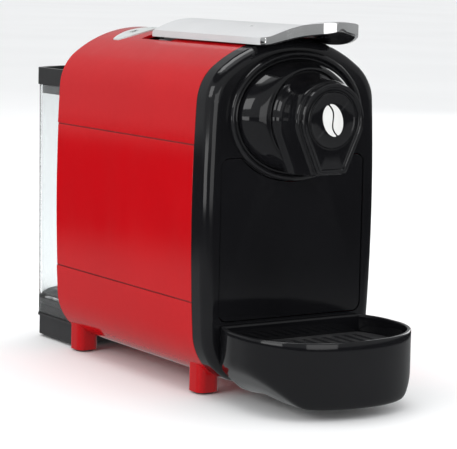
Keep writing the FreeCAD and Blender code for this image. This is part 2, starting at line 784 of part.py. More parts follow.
node(lever_shell(), "lever_shell")
node(lever_insert(), "lever_insert")
node(lever_arms(), "lever_arms")
node(rod("lever_pin_rod", "x", (pin_y, pin_z), pin_radius, (-29.6, 29.6)), "lever_pin")


# ---------------------------------------------------------------- brew unit

def brew_frame():
    """Two cheeks with a slide slot, tied by a front plate, carrying the lever pin."""
    cheeks = []
    for i, x in enumerate((-28.6, 25)):
        wing = prism(f"cheek{i}", "YZ",
                     [(-88, 146), (2, 146), (10, 200), (pin_y + 7, 206), (pin_y + 5, 221), (pin_y - 5, 221),
                      (4, 206), (-88, 206)], (x, x + 3.6), [(3, runs_along("x", lambda c: c.y > 15))])
        cheeks.append(wing)
    slot = box("slide_slot", (-40, 40), (slide_y - 3.3, slide_y + 21), (slide_z - 3.3, slide_z + 3.3))
    bore = rod("pin_bore", "x", (pin_y, pin_z), pin_radius, (-40, 40))
    plate = box("outlet_wall", (-25, 25), (-88, -84), (150, 206))
    drain = rod("outlet_drain", "y", (0, slide_z), 3, (-90, -80))
    return cut("brew_frame_cheeks", fuse("brew_frame_solid", *cheeks, plate), slot, bore, drain)


def outlet_plate():
    disc = rod("pierce_disc", "y", (0, slide_z), 18, (-84, -81.5))
    studs = [box(f"pierce_stud{i}", (-9 + 6 * i, -6 + 6 * i), (-81.5, -79.9), (slide_z - 8, slide_z + 8))
             for i in range(4)]
    return fuse("outlet_plate_studded", disc, *studs)


def outlet_duct():
    """The pipe from the capsule to the spout in the nose."""
    across = rod("duct_across", "y", (0, slide_z), 4.5, (front - 11.5, -88))
    bore = rod("duct_bore", "y", (0, slide_z), 2.6, (front - 12, -87))
    return cut("outlet_duct_pipe", across, bore)


def capsule_cage():
    cup = rod("cage_cup", "y", (0, slide_z), cage_radius, (-62, -34))
    room = rod("cage_room", "y", (0, slide_z), 15.2, (-63, -40))
    tail = box("cage_tail", (-12, 12), (-36, slide_y + 6), (slide_z - 7, slide_z + 7))
    hole = rod("cage_pin_hole", "x", (slide_y, slide_z), 2.5, (-30, 30))
    feed = rod("cage_feed", "y", (0, slide_z), 2.0, (-46, -36))
    return cut("capsule_cage_cup", fuse("cage_solid", cup, tail), room, hole, feed)


def injector():
    disc = rod("injector_disc", "y", (0, slide_z), 14.8, (-42.4, -40))
    spike = rod("injector_spike", "y", (0, slide_z), 1.4, (-48, -42.4))
    return fuse("injector_plate", disc, spike)


def link_arms():
    """Two flat links; the upper eyes are open slots that straddle the lever's crank pins."""
    parts = []
    drop_y, drop_z = crank_y - slide_y, crank_z - slide_z
    length = root(drop_y * drop_y + drop_z * drop_z)
    for i, x in enumerate((-18.9, 15.4)):
        lower = rod(f"link_low{i}", "x", (slide_y, slide_z), 5, (x, x + 3.5))
        upper = rod(f"link_high{i}", "x", (crank_y, crank_z), 4.2, (x, x + 3.5))
        ux, uz = drop_y / length * 4, drop_z / length * 4
        bar = prism(f"link_bar{i}", "YZ",
                    [(slide_y + uz, slide_z - ux), (crank_y + uz * 0.8, crank_z - ux * 0.8),
                     (crank_y - uz * 0.8, crank_z + ux * 0.8), (slide_y - uz, slide_z + ux)], (x, x + 3.5))
        parts.append(fuse(f"link{i}", lower, upper, bar))
    bore = rod("link_bore", "x", (slide_y, slide_z), 2.5 + fit, (-30, 30))
    return cut("link_arms_pair", fuse("links_solid", *parts), bore)


node(brew_frame(), "brew_frame")
node(outlet_plate(), "outlet_plate")
node(outlet_duct(), "outlet_duct")
node(capsule_cage(), "capsule_cage")
node(injector(), "injector")
node(rod("carriage_pin_rod", "x", (slide_y, slide_z), 2.5, (-24.6, 24.6)), "carriage_pin")
node(link_arms(), "link_arms")


def lever_well():
    """The black liner under the lever with the slot that a capsule drops through."""
    plate = box("well_plate", (-23.6, 23.6), (-78, -30), (209.5, 211.5))
    slot = box("capsule_slot", (-19.5, 19.5), (-77, -38), (205, 215))
    return cut("lever_well_plate", plate, slot)


node(lever_well(), "lever_well")


# ---------------------------------------------------------------- buttons and their switches

def button(name):
    slab = cut(f"{name}_slab", hull(f"{name}_outer", -0.7, (50, 90)), hull(f"{name}_inner", 2.4, (49, 91)))
    cap = common(f"{name}_cap", slab, leaf(f"{name}_leaf", 0, (200, 240)))
    stem = rod(f"{name}_stem", "z", (-17, 71), 2.4, (206.2, 223))
    return fuse(f"{name}_whole", cap, stem)


def button_guide():
    bar = box("guide_bar", (-34, 34), (64, 80), (210, 213))
    holes = [rod(f"guide_hole{i}", "z", (x, 71), 2.8, (200, 220)) for i, x in enumerate((-17, 17))]
    light = rod("guide_light", "z", (0, 73), 1.5, (200, 220))
    return cut("button_guide_bar", bar, *holes, light)


def switch_board():
    board = box("switch_card", (-34, 34), (60, 84), (198.4, 200))
    keys = [box(f"switch_key{i}", (x - 3, x + 3), (68, 74), (200, 204.6)) for i, x in enumerate((-17, 17))]
    posts = [rod(f"board_post{i}", "z", (x, 78), 1.6, (200, 210)) for i, x in enumerate((-31, 31))]
    return fuse("switch_board_card", board, *keys, *posts)


left_button = button("button_left")
node(left_button, "button_left")
node(mirrored("button_right_copy", left_button), "button_right")
node(rod("indicator_lens_rod", "z", (0, 73), 1.7, (213, 226.7)), "indicator_lens")
node(button_guide(), "button_guide")
node(switch_board(), "switch_board")


# ---------------------------------------------------------------- chassis and works inside

def chassis():
    """A trough that follows the belly, with a bulkhead behind the capsule drawer."""
    half = [(38, 14), (52, 26), (55.5, 41), (55.5, 150), (53, 150), (53, 42), (49.3, 27.5), (37, 17)]
    trough = prism("chassis_trough", "XZ", half + [(-x, z) for x, z in reversed(half)], (-6, 92))
    end = [(38, 14), (52, 26), (55.5, 41), (55.5, 145), (-55.5, 145), (-55.5, 41), (-52, 26), (-38, 14)]
    return fuse("chassis_moulding", trough, prism("chassis_bulkhead", "XZ", end, (-6, -3)))


def pump_body():
    tube = rod("pump_tube", "y", (pump_x, pump_z), 8, (11, 93))
    head = rod("pump_head", "y", (pump_x, pump_z), 11, (11, 25))
    bore = rod("pump_bore", "y", (pump_x, pump_z), 5 + fit, (31, 82))
    outlet = rod("pump_outlet", "z", (pump_x, 88), 3, (pump_z + 5, pump_z + 14))
    inlet = rod("pump_duct", "y", (pump_x, pump_z), 1.8, (10, 88))
    return cut("pump_body_core", fuse("pump_core", tube, head, outlet), bore, inlet)


def pump_coil():
    coil = rod("coil_outer", "y", (pump_x, pump_z), 15, (37, 67))
    bore = rod("coil_bore", "y", (pump_x, pump_z), 8.1, (35, 69))
    return cut("pump_coil_winding", coil, bore)


def pump_yoke():
    outer = box("yoke_outer", (pump_x - 18, pump_x + 18), (34, 70), (pump_z - 17, pump_z + 17))
    inner = box("yoke_inner", (pump_x - 20, pump_x + 20), (36, 68), (pump_z - 15.3, pump_z + 15.3))
    bore = rod("yoke_bore", "y", (pump_x, pump_z), 8.1, (20, 70))
    return cut("pump_yoke_frame", outer, inner, bore)


def pump_mounts():
    mounts = []
    for i, y in enumerate((27, 79)):
        block = box(f"mount_block{i}", (pump_x - 12, pump_x + 12), (y, y + 5), (17, pump_z + 12))
        bore = rod(f"mount_bore{i}", "y", (pump_x, pump_z), 8.05, (y - 1, y + 6))
        mounts.append(cut(f"mount{i}", block, bore))
    return fuse("pump_mounts_pair", *mounts)


def pump_piston():
    shaft = rod("piston_shaft", "y", (pump_x, pump_z), 5, (35, 57))
    duct = rod("piston_duct", "y", (pump_x, pump_z), 1.2, (34, 58))
    return cut("pump_piston_tube", shaft, duct)


def flow_meter_body():
    can = rod("meter_can", "z", (meter_x, meter_y), 15, (17, 34))
    room = rod("meter_room", "z", (meter_x, meter_y), 12.8, (19, 31))
    axle = rod("meter_axle", "z", (meter_x, meter_y), 1.2, (18, 32))
    stub = rod("meter_stub", "y", (meter_x, 25), 3, (meter_y + 14, meter_y + 22))
    outlet = rod("meter_outlet", "y", (meter_x, 25), 3, (meter_y - 22, meter_y - 14))
    return fuse("flow_meter_closed", cut("meter_hollow", can, room), axle, stub, outlet)


def flow_rotor():
    hub = rod("rotor_hub", "z", (meter_x, meter_y), 3, (20, 30))
    bore = rod("rotor_bore", "z", (meter_x, meter_y), 1.2 + fit, (18, 32))
    blades = [box("blade_x", (meter_x - 11.5, meter_x + 11.5), (meter_y - 0.7, meter_y + 0.7), (21, 29)),
              box("blade_y", (meter_x - 0.7, meter_x + 0.7), (meter_y - 11.5, meter_y + 11.5), (21, 29))]
    return cut("flow_rotor_wheel", fuse("rotor_solid", hub, *blades), bore)


def thermoblock():
    block = box("heater_block", (-18, 18), (36, 66), (96, 168))
    fins = [box(f"heater_fin{i}", (-20, 20), (34, 68), (100 + 12 * i, 103 + 12 * i)) for i in range(6)]
    base = box("heater_leg", (-8, 8), (46, 56), (88, 96))
    stubs = [rod("heater_in", "z", (-10, 51), 3, (168, 176)), rod("heater_out", "z", (10, 51), 3, (168, 176))]
    return fuse("thermoblock_casting", block, *fins, base, *stubs)


def heater_shelf():
    return box("heater_shelf_plate", (-53, 53), (40, 62), (85, 88))


def thermostats():
    discs = [rod(f"thermostat{i}", "y", (0, z), 4.3, (66, 71)) for i, z in enumerate((107.5, 143.5))]
    return fuse("thermostats_pair", *discs)


def control_board():
    card = box("control_card", (-52.4, -50.8), (8, 34), (62, 142))
    relay = box("control_relay", (-50.8, -38), (12, 26), (70, 88))
    capacitor = rod("control_capacitor", "x", (20, 110), 6, (-50.8, -36))
    choke = box("control_choke", (-50.8, -40), (12, 30), (122, 136))
    spacers = [rod(f"control_spacer{i}", "x", (20, z), 2, (-53, -52.4)) for i, z in enumerate((66, 138))]
    return fuse("control_board_card", card, relay, capacitor, choke, *spacers)


node(chassis(), "chassis")
node(pump_body(), "pump_body")
node(pump_coil(), "pump_coil")
node(pump_yoke(), "pump_yoke")
node(pump_mounts(), "pump_mounts")
node(pump_piston(), "pump_piston")
node(coil_spring("pump_spring_coil", (pump_x, 57.6, pump_z), (0, 1, 0), 3.8, 0.5, 18, 6), "pump_spring")
node(flow_meter_body(), "flow_meter_body")
node(flow_rotor(), "flow_rotor")
node(thermoblock(), "thermoblock")
node(heater_shelf(), "heater_shelf")
node(thermostats(), "thermostats")
node(control_board(), "control_board")
node(hose("suction_hose_run", [(0, 95.4, 20.6), (0, 84, 20.6), (meter_x, 84, 25), (meter_x, meter_y + 22, 25)],
          3.2, 8.5), "suction_hose")
node(hose("feed_hose_run", [(meter_x, meter_y - 22, 25), (meter_x, 3.5, 25), (pump_x, 3.5, pump_z),
                            (pump_x, 11, pump_z)], 2.6, 6), "feed_hose")
node(hose("pressure_hose_run", [(pump_x, 88, pump_z + 14), (pump_x, 88, 150), (20, 80, 190), (-10, 51, 194),
                                (-10, 51, 176)], 2.6, 9), "pressure_hose")

doc.recompute()


# ---------------------------------------------------------------- checks and export

broken = [o.Label for o in doc.Objects if "Invalid" in o.State or "Error" in o.State]
if broken:
    raise SystemExit(f"failed features: {broken}")
for piece in nodes:
    if piece.Shape.isNull() or not piece.Shape.isValid() or not piece.Shape.Solids:
        raise SystemExit(f"bad shape: {piece.Label}")
for piece in nodes:
    piece.Shape.exportStep(f"parts/{piece.Label}.step")
    extent = piece.Shape.BoundBox
    print(f"{piece.Label:18} solids {len(piece.Shape.Solids)} volume {piece.Shape.Volume:10.1f} "
          f"x {extent.XMin:7.2f} {extent.XMax:7.2f} y {extent.YMin:7.2f} {extent.YMax:7.2f} "
          f"z {extent.ZMin:7.2f} {extent.ZMax:7.2f}")
print(len(nodes), "nodes")
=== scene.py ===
import bpy
import bmesh
import json
import math
from mathutils import Matrix, Vector


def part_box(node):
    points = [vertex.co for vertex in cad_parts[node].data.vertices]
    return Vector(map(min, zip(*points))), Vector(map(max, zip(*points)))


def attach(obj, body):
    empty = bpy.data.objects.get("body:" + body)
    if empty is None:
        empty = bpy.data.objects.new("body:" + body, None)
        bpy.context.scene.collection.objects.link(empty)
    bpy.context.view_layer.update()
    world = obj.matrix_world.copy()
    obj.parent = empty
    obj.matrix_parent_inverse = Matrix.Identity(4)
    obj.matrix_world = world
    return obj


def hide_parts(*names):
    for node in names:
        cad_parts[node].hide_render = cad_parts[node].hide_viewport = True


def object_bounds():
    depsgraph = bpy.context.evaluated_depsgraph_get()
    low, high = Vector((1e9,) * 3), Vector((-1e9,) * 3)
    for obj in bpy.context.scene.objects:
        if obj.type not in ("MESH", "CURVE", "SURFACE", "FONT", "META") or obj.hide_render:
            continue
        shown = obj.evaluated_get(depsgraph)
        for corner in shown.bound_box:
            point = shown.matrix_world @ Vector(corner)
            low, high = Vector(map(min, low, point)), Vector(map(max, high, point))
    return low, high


# The looks of a pod coffee machine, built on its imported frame. The scene is in metres, +Z up, and the
# front faces -Y. Sizes of the new pieces are written in millimetres and scaled by MM.

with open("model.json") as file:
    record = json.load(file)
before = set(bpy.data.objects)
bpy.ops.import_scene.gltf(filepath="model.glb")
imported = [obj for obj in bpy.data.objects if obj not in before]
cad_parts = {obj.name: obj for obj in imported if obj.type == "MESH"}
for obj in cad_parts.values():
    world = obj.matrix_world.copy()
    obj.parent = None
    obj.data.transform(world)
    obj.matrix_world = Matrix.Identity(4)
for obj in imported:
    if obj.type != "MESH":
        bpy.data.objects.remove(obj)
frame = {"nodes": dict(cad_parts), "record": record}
cad_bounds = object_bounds()
nodes = frame["nodes"]
MM = 0.001


# ---------------------------------------------------------------- shading helpers

class Graph:
    """A material's node tree, with short calls for the nodes that every finish is made of."""

    def __init__(self, name):
        self.material = bpy.data.materials.new(name)
        self.material.use_nodes = True
        self.tree = self.material.node_tree
        self.skin = self.tree.nodes["Principled BSDF"]
        self.place = self.tree.nodes.new("ShaderNodeTexCoord").outputs["Object"]

    def link(self, source, target):
        self.tree.links.new(source, target)

    def stretched(self, scale):
        node = self.tree.nodes.new("ShaderNodeMapping")
        node.inputs["Scale"].default_value = scale
        self.link(self.place, node.inputs["Vector"])
        return node.outputs["Vector"]

    def noise(self, scale, detail=5.0, stretch=(1, 1, 1), distortion=0.0):
        node = self.tree.nodes.new("ShaderNodeTexNoise")
        node.inputs["Scale"].default_value = scale
        node.inputs["Detail"].default_value = detail
        node.inputs["Distortion"].default_value = distortion
        self.link(self.stretched(stretch), node.inputs["Vector"])
        return node.outputs["Fac"]

    def cells(self, scale, feature="F1"):
        node = self.tree.nodes.new("ShaderNodeTexVoronoi")
        node.inputs["Scale"].default_value = scale
        node.feature = feature
        self.link(self.place, node.inputs["Vector"])
        return node.outputs["Distance"]

    def spread(self, source, low, high, start=0.3, end=0.7):
        node = self.tree.nodes.new("ShaderNodeMapRange")
        node.inputs["From Min"].default_value = start
        node.inputs["From Max"].default_value = end
        node.inputs["To Min"].default_value = low
        node.inputs["To Max"].default_value = high
        self.link(source, node.inputs["Value"])
        return node.outputs["Result"]

    def mix(self, factor, first, second):
        node = self.tree.nodes.new("ShaderNodeMix")
        node.data_type = "RGBA"
        self.link(factor, node.inputs["Factor"])
        for socket, colour in ((node.inputs["A"], first), (node.inputs["B"], second)):
            if isinstance(colour, (tuple, list)):
                socket.default_value = (*colour[:3], 1)
            else:
                self.link(colour, socket)
        return node.outputs["Result"]

    def times(self, first, second):
        node = self.tree.nodes.new("ShaderNodeMath")
        node.operation = "MULTIPLY"
        self.link(first, node.inputs[0])
        self.link(second, node.inputs[1])
        return node.outputs[0]

    def bump(self, *layers):
        """Layers are (height, strength, distance in millimetres), laid one on the other."""
        normal = None
        for height, strength, distance in layers:
            node = self.tree.nodes.new("ShaderNodeBump")
            node.inputs["Strength"].default_value = strength
            node.inputs["Distance"].default_value = distance * MM
            self.link(height, node.inputs["Height"])
            if normal is not None:
                self.link(normal, node.inputs["Normal"])
            normal = node.outputs["Normal"]
        self.link(normal, self.skin.inputs["Normal"])

    def edges(self, low=0.52, high=0.6):
        geometry = self.tree.nodes.new("ShaderNodeNewGeometry")
        return self.spread(geometry.outputs["Pointiness"], 0, 1, low, high)

    def facing_up(self):
        geometry = self.tree.nodes.new("ShaderNodeNewGeometry")
        split = self.tree.nodes.new("ShaderNodeSeparateXYZ")
        self.link(geometry.outputs["Normal"], split.inputs["Vector"])
        return self.spread(split.outputs["Z"], 0, 1, 0.5, 1.0)


def shade(colour, factor):
    return tuple(min(channel * factor, 1) for channel in colour[:3])


def plastic(name, colour, rough, shine=0.5, drift=0.12, grain=0.0, ripple=0.0, wear=0.25, dust=0.05):
    """Moulded plastic: uneven pigment, uneven gloss, a moulded grain, rubbed edges and a film of dust."""
    g = Graph(name)
    patches = g.noise(14, 4)
    tone = g.mix(g.spread(patches, 0, 1), shade(colour, 1 - drift), shade(colour, 1 + drift))
    rubbed = g.times(g.edges(), g.spread(g.noise(220, 6), 0, wear))
    tone = g.mix(rubbed, tone, shade([c + 0.04 for c in colour[:3]], 1.8))
    film = g.times(g.facing_up(), g.spread(g.noise(90, 8), 0, dust, 0.45, 0.75))
    tone = g.mix(film, tone, (0.55, 0.53, 0.5))
    g.link(tone, g.skin.inputs["Base Color"])
    smears = g.noise(38, 7, (1, 1, 0.35), 0.6)
    g.link(g.spread(smears, rough * 0.8, rough * 1.35), g.skin.inputs["Roughness"])
    g.skin.inputs["Specular IOR Level"].default_value = shine
    g.bump((g.noise(26, 3), ripple, 0.05), (g.noise(900, 4), grain, 0.05))
    return g.material


def metal(name, colour, rough, streak=(1, 40, 40), bump=0.06, drift=0.1, wear=0.3):
    """Metal with drawn streaks, uneven polish and brighter edges."""
    g = Graph(name)
    g.skin.inputs["Metallic"].default_value = 1
    streaks = g.noise(60, 6, streak)
    tone = g.mix(g.spread(streaks, 0, 1), shade(colour, 1 - drift), shade(colour, 1 + drift))
    tone = g.mix(g.times(g.edges(), g.spread(g.noise(160, 5), 0, wear)), tone, shade(colour, 1.5))
    g.link(tone, g.skin.inputs["Base Color"])
    g.link(g.spread(g.noise(45, 6, streak, 0.3), rough * 0.7, rough * 1.4), g.skin.inputs["Roughness"])
    g.bump((streaks, bump, 0.05), (g.noise(500, 3), bump * 0.5, 0.03))
    return g.material


def rubbery(name, colour, rough=0.75):
    g = Graph(name)
    blotch = g.noise(30, 6)
    tone = g.mix(g.spread(blotch, 0, 1), shade(colour, 0.8), shade(colour, 1.35))
    chalk = g.times(g.edges(0.5, 0.58), g.spread(g.noise(300, 5), 0, 0.3))
    g.link(g.mix(chalk, tone, (0.25, 0.25, 0.24)), g.skin.inputs["Base Color"])
    g.link(g.spread(g.noise(80, 6), rough * 0.85, min(rough * 1.2, 1)), g.skin.inputs["Roughness"])
    g.bump((g.noise(700, 5), 0.25, 0.08), (g.cells(350), 0.12, 0.06))
    return g.material


def clear_plastic(name):
    """Blow-moulded clear plastic with faint haze, flow ripples and fine scuffs."""
    g = Graph(name)
    haze = g.spread(g.noise(20, 5, (1, 1, 0.3)), 0, 1)
    g.link(g.mix(haze, (0.97, 0.985, 0.985), (0.92, 0.95, 0.955)), g.skin.inputs["Base Color"])
    g.skin.inputs["Transmission Weight"].default_value = 0.97
    g.skin.inputs["IOR"].default_value = 1.32
    scuffs = g.noise(400, 6, (1, 1, 0.08))
    g.link(g.spread(scuffs, 0.015, 0.12, 0.45, 0.8), g.skin.inputs["Roughness"])
    g.bump((g.noise(16, 2), 0.12, 0.1), (scuffs, 0.03, 0.02))
    return g.material


def silicone(name):
    g = Graph(name)
    cloud = g.noise(50, 5)
    g.link(g.mix(g.spread(cloud, 0, 1), (0.78, 0.76, 0.7), (0.9, 0.88, 0.83)), g.skin.inputs["Base Color"])
    g.skin.inputs["Transmission Weight"].default_value = 0.35
    g.skin.inputs["Subsurface Weight"].default_value = 0.2
    g.link(g.spread(g.noise(120, 5), 0.25, 0.5), g.skin.inputs["Roughness"])
    g.bump((g.noise(500, 4), 0.08, 0.05), (g.noise(40, 3), 0.1, 0.1))
    return g.material


def winding(name):
    """Enamelled copper wire wound in close turns."""
    g = Graph(name)
    wave = g.tree.nodes.new("ShaderNodeTexWave")
    wave.bands_direction = "Y"
    wave.inputs["Scale"].default_value = 600
    wave.inputs["Distortion"].default_value = 0.4
    g.link(g.place, wave.inputs["Vector"])
    turns = wave.outputs["Fac"]
    g.link(g.mix(turns, (0.35, 0.12, 0.04), (0.8, 0.36, 0.16)), g.skin.inputs["Base Color"])
    g.skin.inputs["Metallic"].default_value = 0.9
    g.link(g.spread(g.noise(80, 5), 0.25, 0.5), g.skin.inputs["Roughness"])
    g.bump((turns, 0.6, 0.3), (g.noise(300, 3), 0.1, 0.05))
    return g.material


def circuit(name):
    """Solder mask over copper traces."""
    g = Graph(name)
    traces = g.spread(g.cells(240, "DISTANCE_TO_EDGE"), 1, 0, 0.02, 0.06)
    mask = g.mix(g.spread(g.noise(60, 5), 0, 1), (0.01, 0.09, 0.035), (0.02, 0.15, 0.06))
    g.link(g.mix(traces, mask, (0.08, 0.28, 0.12)), g.skin.inputs["Base Color"])
    g.link(g.spread(g.noise(150, 5), 0.25, 0.45), g.skin.inputs["Roughness"])
    g.bump((traces, 0.3, 0.06), (g.noise(600, 3), 0.06, 0.03))
    return g.material


def record_colour(slot):
    return next(m["base_color"] for m in frame["record"]["materials"] if m["slot"] == slot)


FINISHES = {
    "red_shell": plastic("red_shell", (0.44, 0.0008, 0.004), 0.1, shine=0.5, drift=0.04, ripple=0.035,
                         grain=0.012, wear=0.1, dust=0.015),
    "black_gloss": plastic("black_gloss", (0.006, 0.006, 0.007), 0.07, shine=0.5, drift=0.2, ripple=0.03,
                           grain=0.01, wear=0.25, dust=0.02),
    "black_matte": plastic("black_matte", record_colour("black_matte"), 0.42, drift=0.15, grain=0.25,
                           wear=0.3),
    "charcoal": plastic("charcoal", (0.022, 0.022, 0.023), 0.3, drift=0.12, grain=0.18, wear=0.25),
    "grey_button": plastic("grey_button", record_colour("grey_button"), 0.3, drift=0.05, grain=0.08,
                           wear=0.2),
    "grey_plastic": plastic("grey_plastic", record_colour("grey_plastic"), 0.5, drift=0.1, grain=0.3),
    "white_plastic": plastic("white_plastic", record_colour("white_plastic"), 0.4, drift=0.05, grain=0.15),
    "lens": plastic("lens", record_colour("lens"), 0.06, shine=0.6, drift=0.1, ripple=0.02, wear=0.1),
    "silver_satin": plastic("silver_satin", (0.56, 0.565, 0.57), 0.34, shine=0.5, drift=0.02, grain=0.05,
                            ripple=0.01, wear=0.1, dust=0.0),
    "chrome": metal("chrome", (0.9, 0.9, 0.9), 0.06, streak=(1, 1, 1), bump=0.01, drift=0.03, wear=0.1),
    "steel": metal("steel", record_colour("steel"), 0.25, streak=(30, 1, 30)),
    "zinc_steel": metal("zinc_steel", record_colour("zinc_steel"), 0.42, streak=(3, 3, 3), bump=0.12,
                        drift=0.2),
    "cast_alloy": metal("cast_alloy", record_colour("cast_alloy"), 0.5, streak=(1, 1, 1), bump=0.4,
                        drift=0.12),
    "rubber": rubbery("rubber", record_colour("rubber")),
    "clear_tank": clear_plastic("clear_tank"),
    "silicone": silicone("silicone"),
    "copper": winding("copper"),
    "circuit": circuit("circuit"),
}
MARK_WHITE = plastic("mark_white", (0.82, 0.82, 0.8), 0.35, drift=0.03, grain=0.1, wear=0.1, dust=0.02)
ICON_DARK = plastic("icon_dark", (0.08, 0.085, 0.085), 0.4, drift=0.1, grain=0.1, wear=0.1, dust=0.02)
# A darker copy of the red shell plastic: painted shade for the strips in the seams between the shells.
SEAM_SHADE_RED = plastic("seam_painted_shade", (0.2, 0.0006, 0.002), 0.6, drift=0.2, grain=0.2, wear=0.05, dust=0.02)


# ---------------------------------------------------------------- mesh helpers

def piece(name, mesh, body, slot, material=None, replaces=(), smooth=35):
    """Finishes one new piece: shading, material, the body it rides on and the CAD nodes it stands for."""
    obj = bpy.data.objects.new(name, mesh)
    bpy.context.scene.collection.objects.link(obj)
    mesh.materials.append(material or FINISHES[slot])
    mesh.shade_smooth()
    if smooth:
        mesh.set_sharp_from_angle(angle=math.radians(smooth))
    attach(obj, body)
    if replaces:
        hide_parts(*replaces)
    return obj


def loft(name, rings, ends=(True, True), closed=False):
    """A skin of quads over rings of equal counts, with the ends filled or the last joined to the first."""
    mesh = bpy.data.meshes.new(name)
    bm = bmesh.new()
    rows = [[bm.verts.new(p) for p in ring] for ring in rings]
    pairs = list(zip(rows, rows[1:]))
    if closed:
        pairs.append((rows[-1], rows[0]))
    for low, high in pairs:
        for i in range(len(low)):
            k = (i + 1) % len(low)
            bm.faces.new((low[i], low[k], high[k], high[i]))
    if ends[0] and not closed:
        bm.faces.new(list(reversed(rows[0])))
    if ends[1] and not closed:
        bm.faces.new(rows[-1])
    bmesh.ops.recalc_face_normals(bm, faces=bm.faces)
    bm.to_mesh(mesh)
    bm.free()
    return mesh


def tube(name, points, radius, sides=20):
    """A round tube through points, with flat ends."""
    curve = bpy.data.curves.new(name, "CURVE")
    curve.dimensions = "3D"
    curve.bevel_depth = radius
    curve.bevel_resolution = sides // 4
    curve.use_fill_caps = True
    spline = curve.splines.new("POLY")
    spline.points.add(len(points) - 1)
    for point, place in zip(spline.points, points):
        point.co = (*place, 1)
    holder = bpy.data.objects.new(name, curve)
    mesh = bpy.data.meshes.new_from_object(holder)
    bpy.data.objects.remove(holder)
    return mesh


def joined(name, meshes):
    bm = bmesh.new()
    for mesh in meshes:
        bm.from_mesh(mesh)
    result = bpy.data.meshes.new(name)
    bm.to_mesh(result)
    bm.free()
    return result


def dress(node, slot, bevel=0.35, material=None, segments=2):
    """Gives a carried-over CAD node its finish and softened edges."""
    obj = nodes[node]
    obj.data.materials.clear()
    obj.data.materials.append(material or FINISHES[slot])
    for face in obj.data.polygons:
        face.use_smooth = True
    weld = obj.modifiers.new("weld", "WELD")
    weld.merge_threshold = 0.004 * MM
    if bevel:
        soft = obj.modifiers.new("soft_edges", "BEVEL")
        soft.width = bevel * MM
        soft.segments = segments
        soft.limit_method = "ANGLE"
        soft.angle_limit = math.radians(32)
        soft.harden_normals = True
        soft.miter_outer = "MITER_ARC"
    normals = obj.modifiers.new("even_normals", "WEIGHTED_NORMAL")
    normals.keep_sharp = False
    normals.weight = 80
    return obj


def mix(a, b, t):
    return a + (b - a) * t


def ease(t):
    t = min(max(t, 0), 1)
    return t * t * (3 - 2 * t)


def at(x, y, z):
    """A point given in millimetres."""
    return Vector((x * MM, y * MM, z * MM))


# ---------------------------------------------------------------- outlines

RING_LOW, RING_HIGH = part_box("nose_ring")
CAP_LOW, CAP_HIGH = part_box("nose_cap")
BOSS_LOW, BOSS_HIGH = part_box("nose_boss")
BADGE_LOW, BADGE_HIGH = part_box("nose_badge")
FACE = RING_HIGH.y
NOSE_Z = (BADGE_LOW.z + BADGE_HIGH.z) / 2
TURNS = 160


def ellipse_reach(angle, half_width, half_height):
    return 1 / math.hypot(math.cos(angle) / half_width, math.sin(angle) / half_height)


def drop_reach(angle, radius, foot_half, drop):
    """How far the teardrop reaches at an angle from its circle's centre."""
    across, up = abs(math.cos(angle)), math.sin(angle)
    reach = foot_half ** 2 + drop ** 2
    side = math.sqrt(reach - radius ** 2)
    touch = ((radius * radius * foot_half + radius * side * drop) / reach,
             (radius * side * foot_half - radius * radius * drop) / reach)
    if up * radius >= touch[1]:
        return radius
    to_side = radius / ((across * touch[0] + up * touch[1]) / radius)
    return min(to_side, drop / -up)


def nose_section(y, blend, oval, drop):
    """A section of the nose at depth y: blend 0 is the oval, 1 the teardrop."""
    ring = []
    for i in range(TURNS):
        angle = math.tau * (i + 0.5) / TURNS - math.pi / 2
        reach = mix(ellipse_reach(angle, *oval), drop_reach(angle, *drop), blend)
        ring.append(Vector((reach * math.cos(angle), y, NOSE_Z + reach * math.sin(angle))))
    return ring


def nose_skin(name, stations, ends):
    """Stations are (y, blend, oval half sizes, teardrop sizes), all in millimetres from the front plane."""
    rings = [nose_section(FACE + y * MM, blend, [v * MM for v in oval], [v * MM for v in drop])
             for y, blend, oval, drop in stations]
    return loft(name, rings, ends)


# ---------------------------------------------------------------- nose

def nose_ring():
    """The raised oval rim round the brew nose."""
    wide = (RING_HIGH.x - RING_LOW.x) / 2 / MM
    tall = (RING_HIGH.z - RING_LOW.z) / 2 / MM
    profile = ((0.0, 0.0), (-2.6, 0.0), (-3.3, -0.3), (-3.8, -1.0), (-4.0, -1.9), (-3.8, -2.8), (-3.1, -3.4),
               (-2.2, -3.7), (-1.9, -4.1), (-2.4, -4.7), (-2.3, -5.4), (-1.4, -5.9), (0.0, -6.0))
    drop = (cap_radius(), 10.5, 33)
    rings = [(y, 0, (wide + grow, tall + grow), drop) for y, grow in profile]
    mesh = nose_skin("nose_rim", rings, (False, False))
    piece("nose_rim", mesh, "machine", "black_gloss", replaces=["nose_ring"], smooth=60)


def cap_radius():
    return (CAP_HIGH.z - NOSE_Z) / MM


def cap_drop():
    return (NOSE_Z - CAP_LOW.z) / MM


def nose_dome():
    """The domed surface that sweeps from the rim in to the neck of the boss."""
    wide = (RING_HIGH.x - RING_LOW.x) / 2 / MM - 5.9
    tall = (RING_HIGH.z - RING_LOW.z) / 2 / MM - 5.9
    drop = (27.5, 12, 35)
    rings = []
    steps = 26
    for i in range(steps + 1):
        turn = i / steps * math.pi / 2
        inward = (1 - math.cos(turn)) * 13.5
        y = -1.2 - 13.8 * math.sin(turn)
        rings.append((y, 0.25 * ease(i / steps), (wide - inward, tall - inward * 0.25), drop))
    last = rings[-1]
    rings.append((last[0] - 0.2, last[1], (last[2][0] - 1.0, last[2][1] - 1.0), drop))
    rings.append((last[0] + 1.2, last[1], (last[2][0] - 2.2, last[2][1] - 2.2), drop))
    rings.insert(0, (0.0, 0, (wide, tall), drop))
    mesh = nose_skin("nose_dome", rings, (False, True))
    piece("nose_dome", mesh, "machine", "black_gloss", replaces=["nose_bell"], smooth=50)


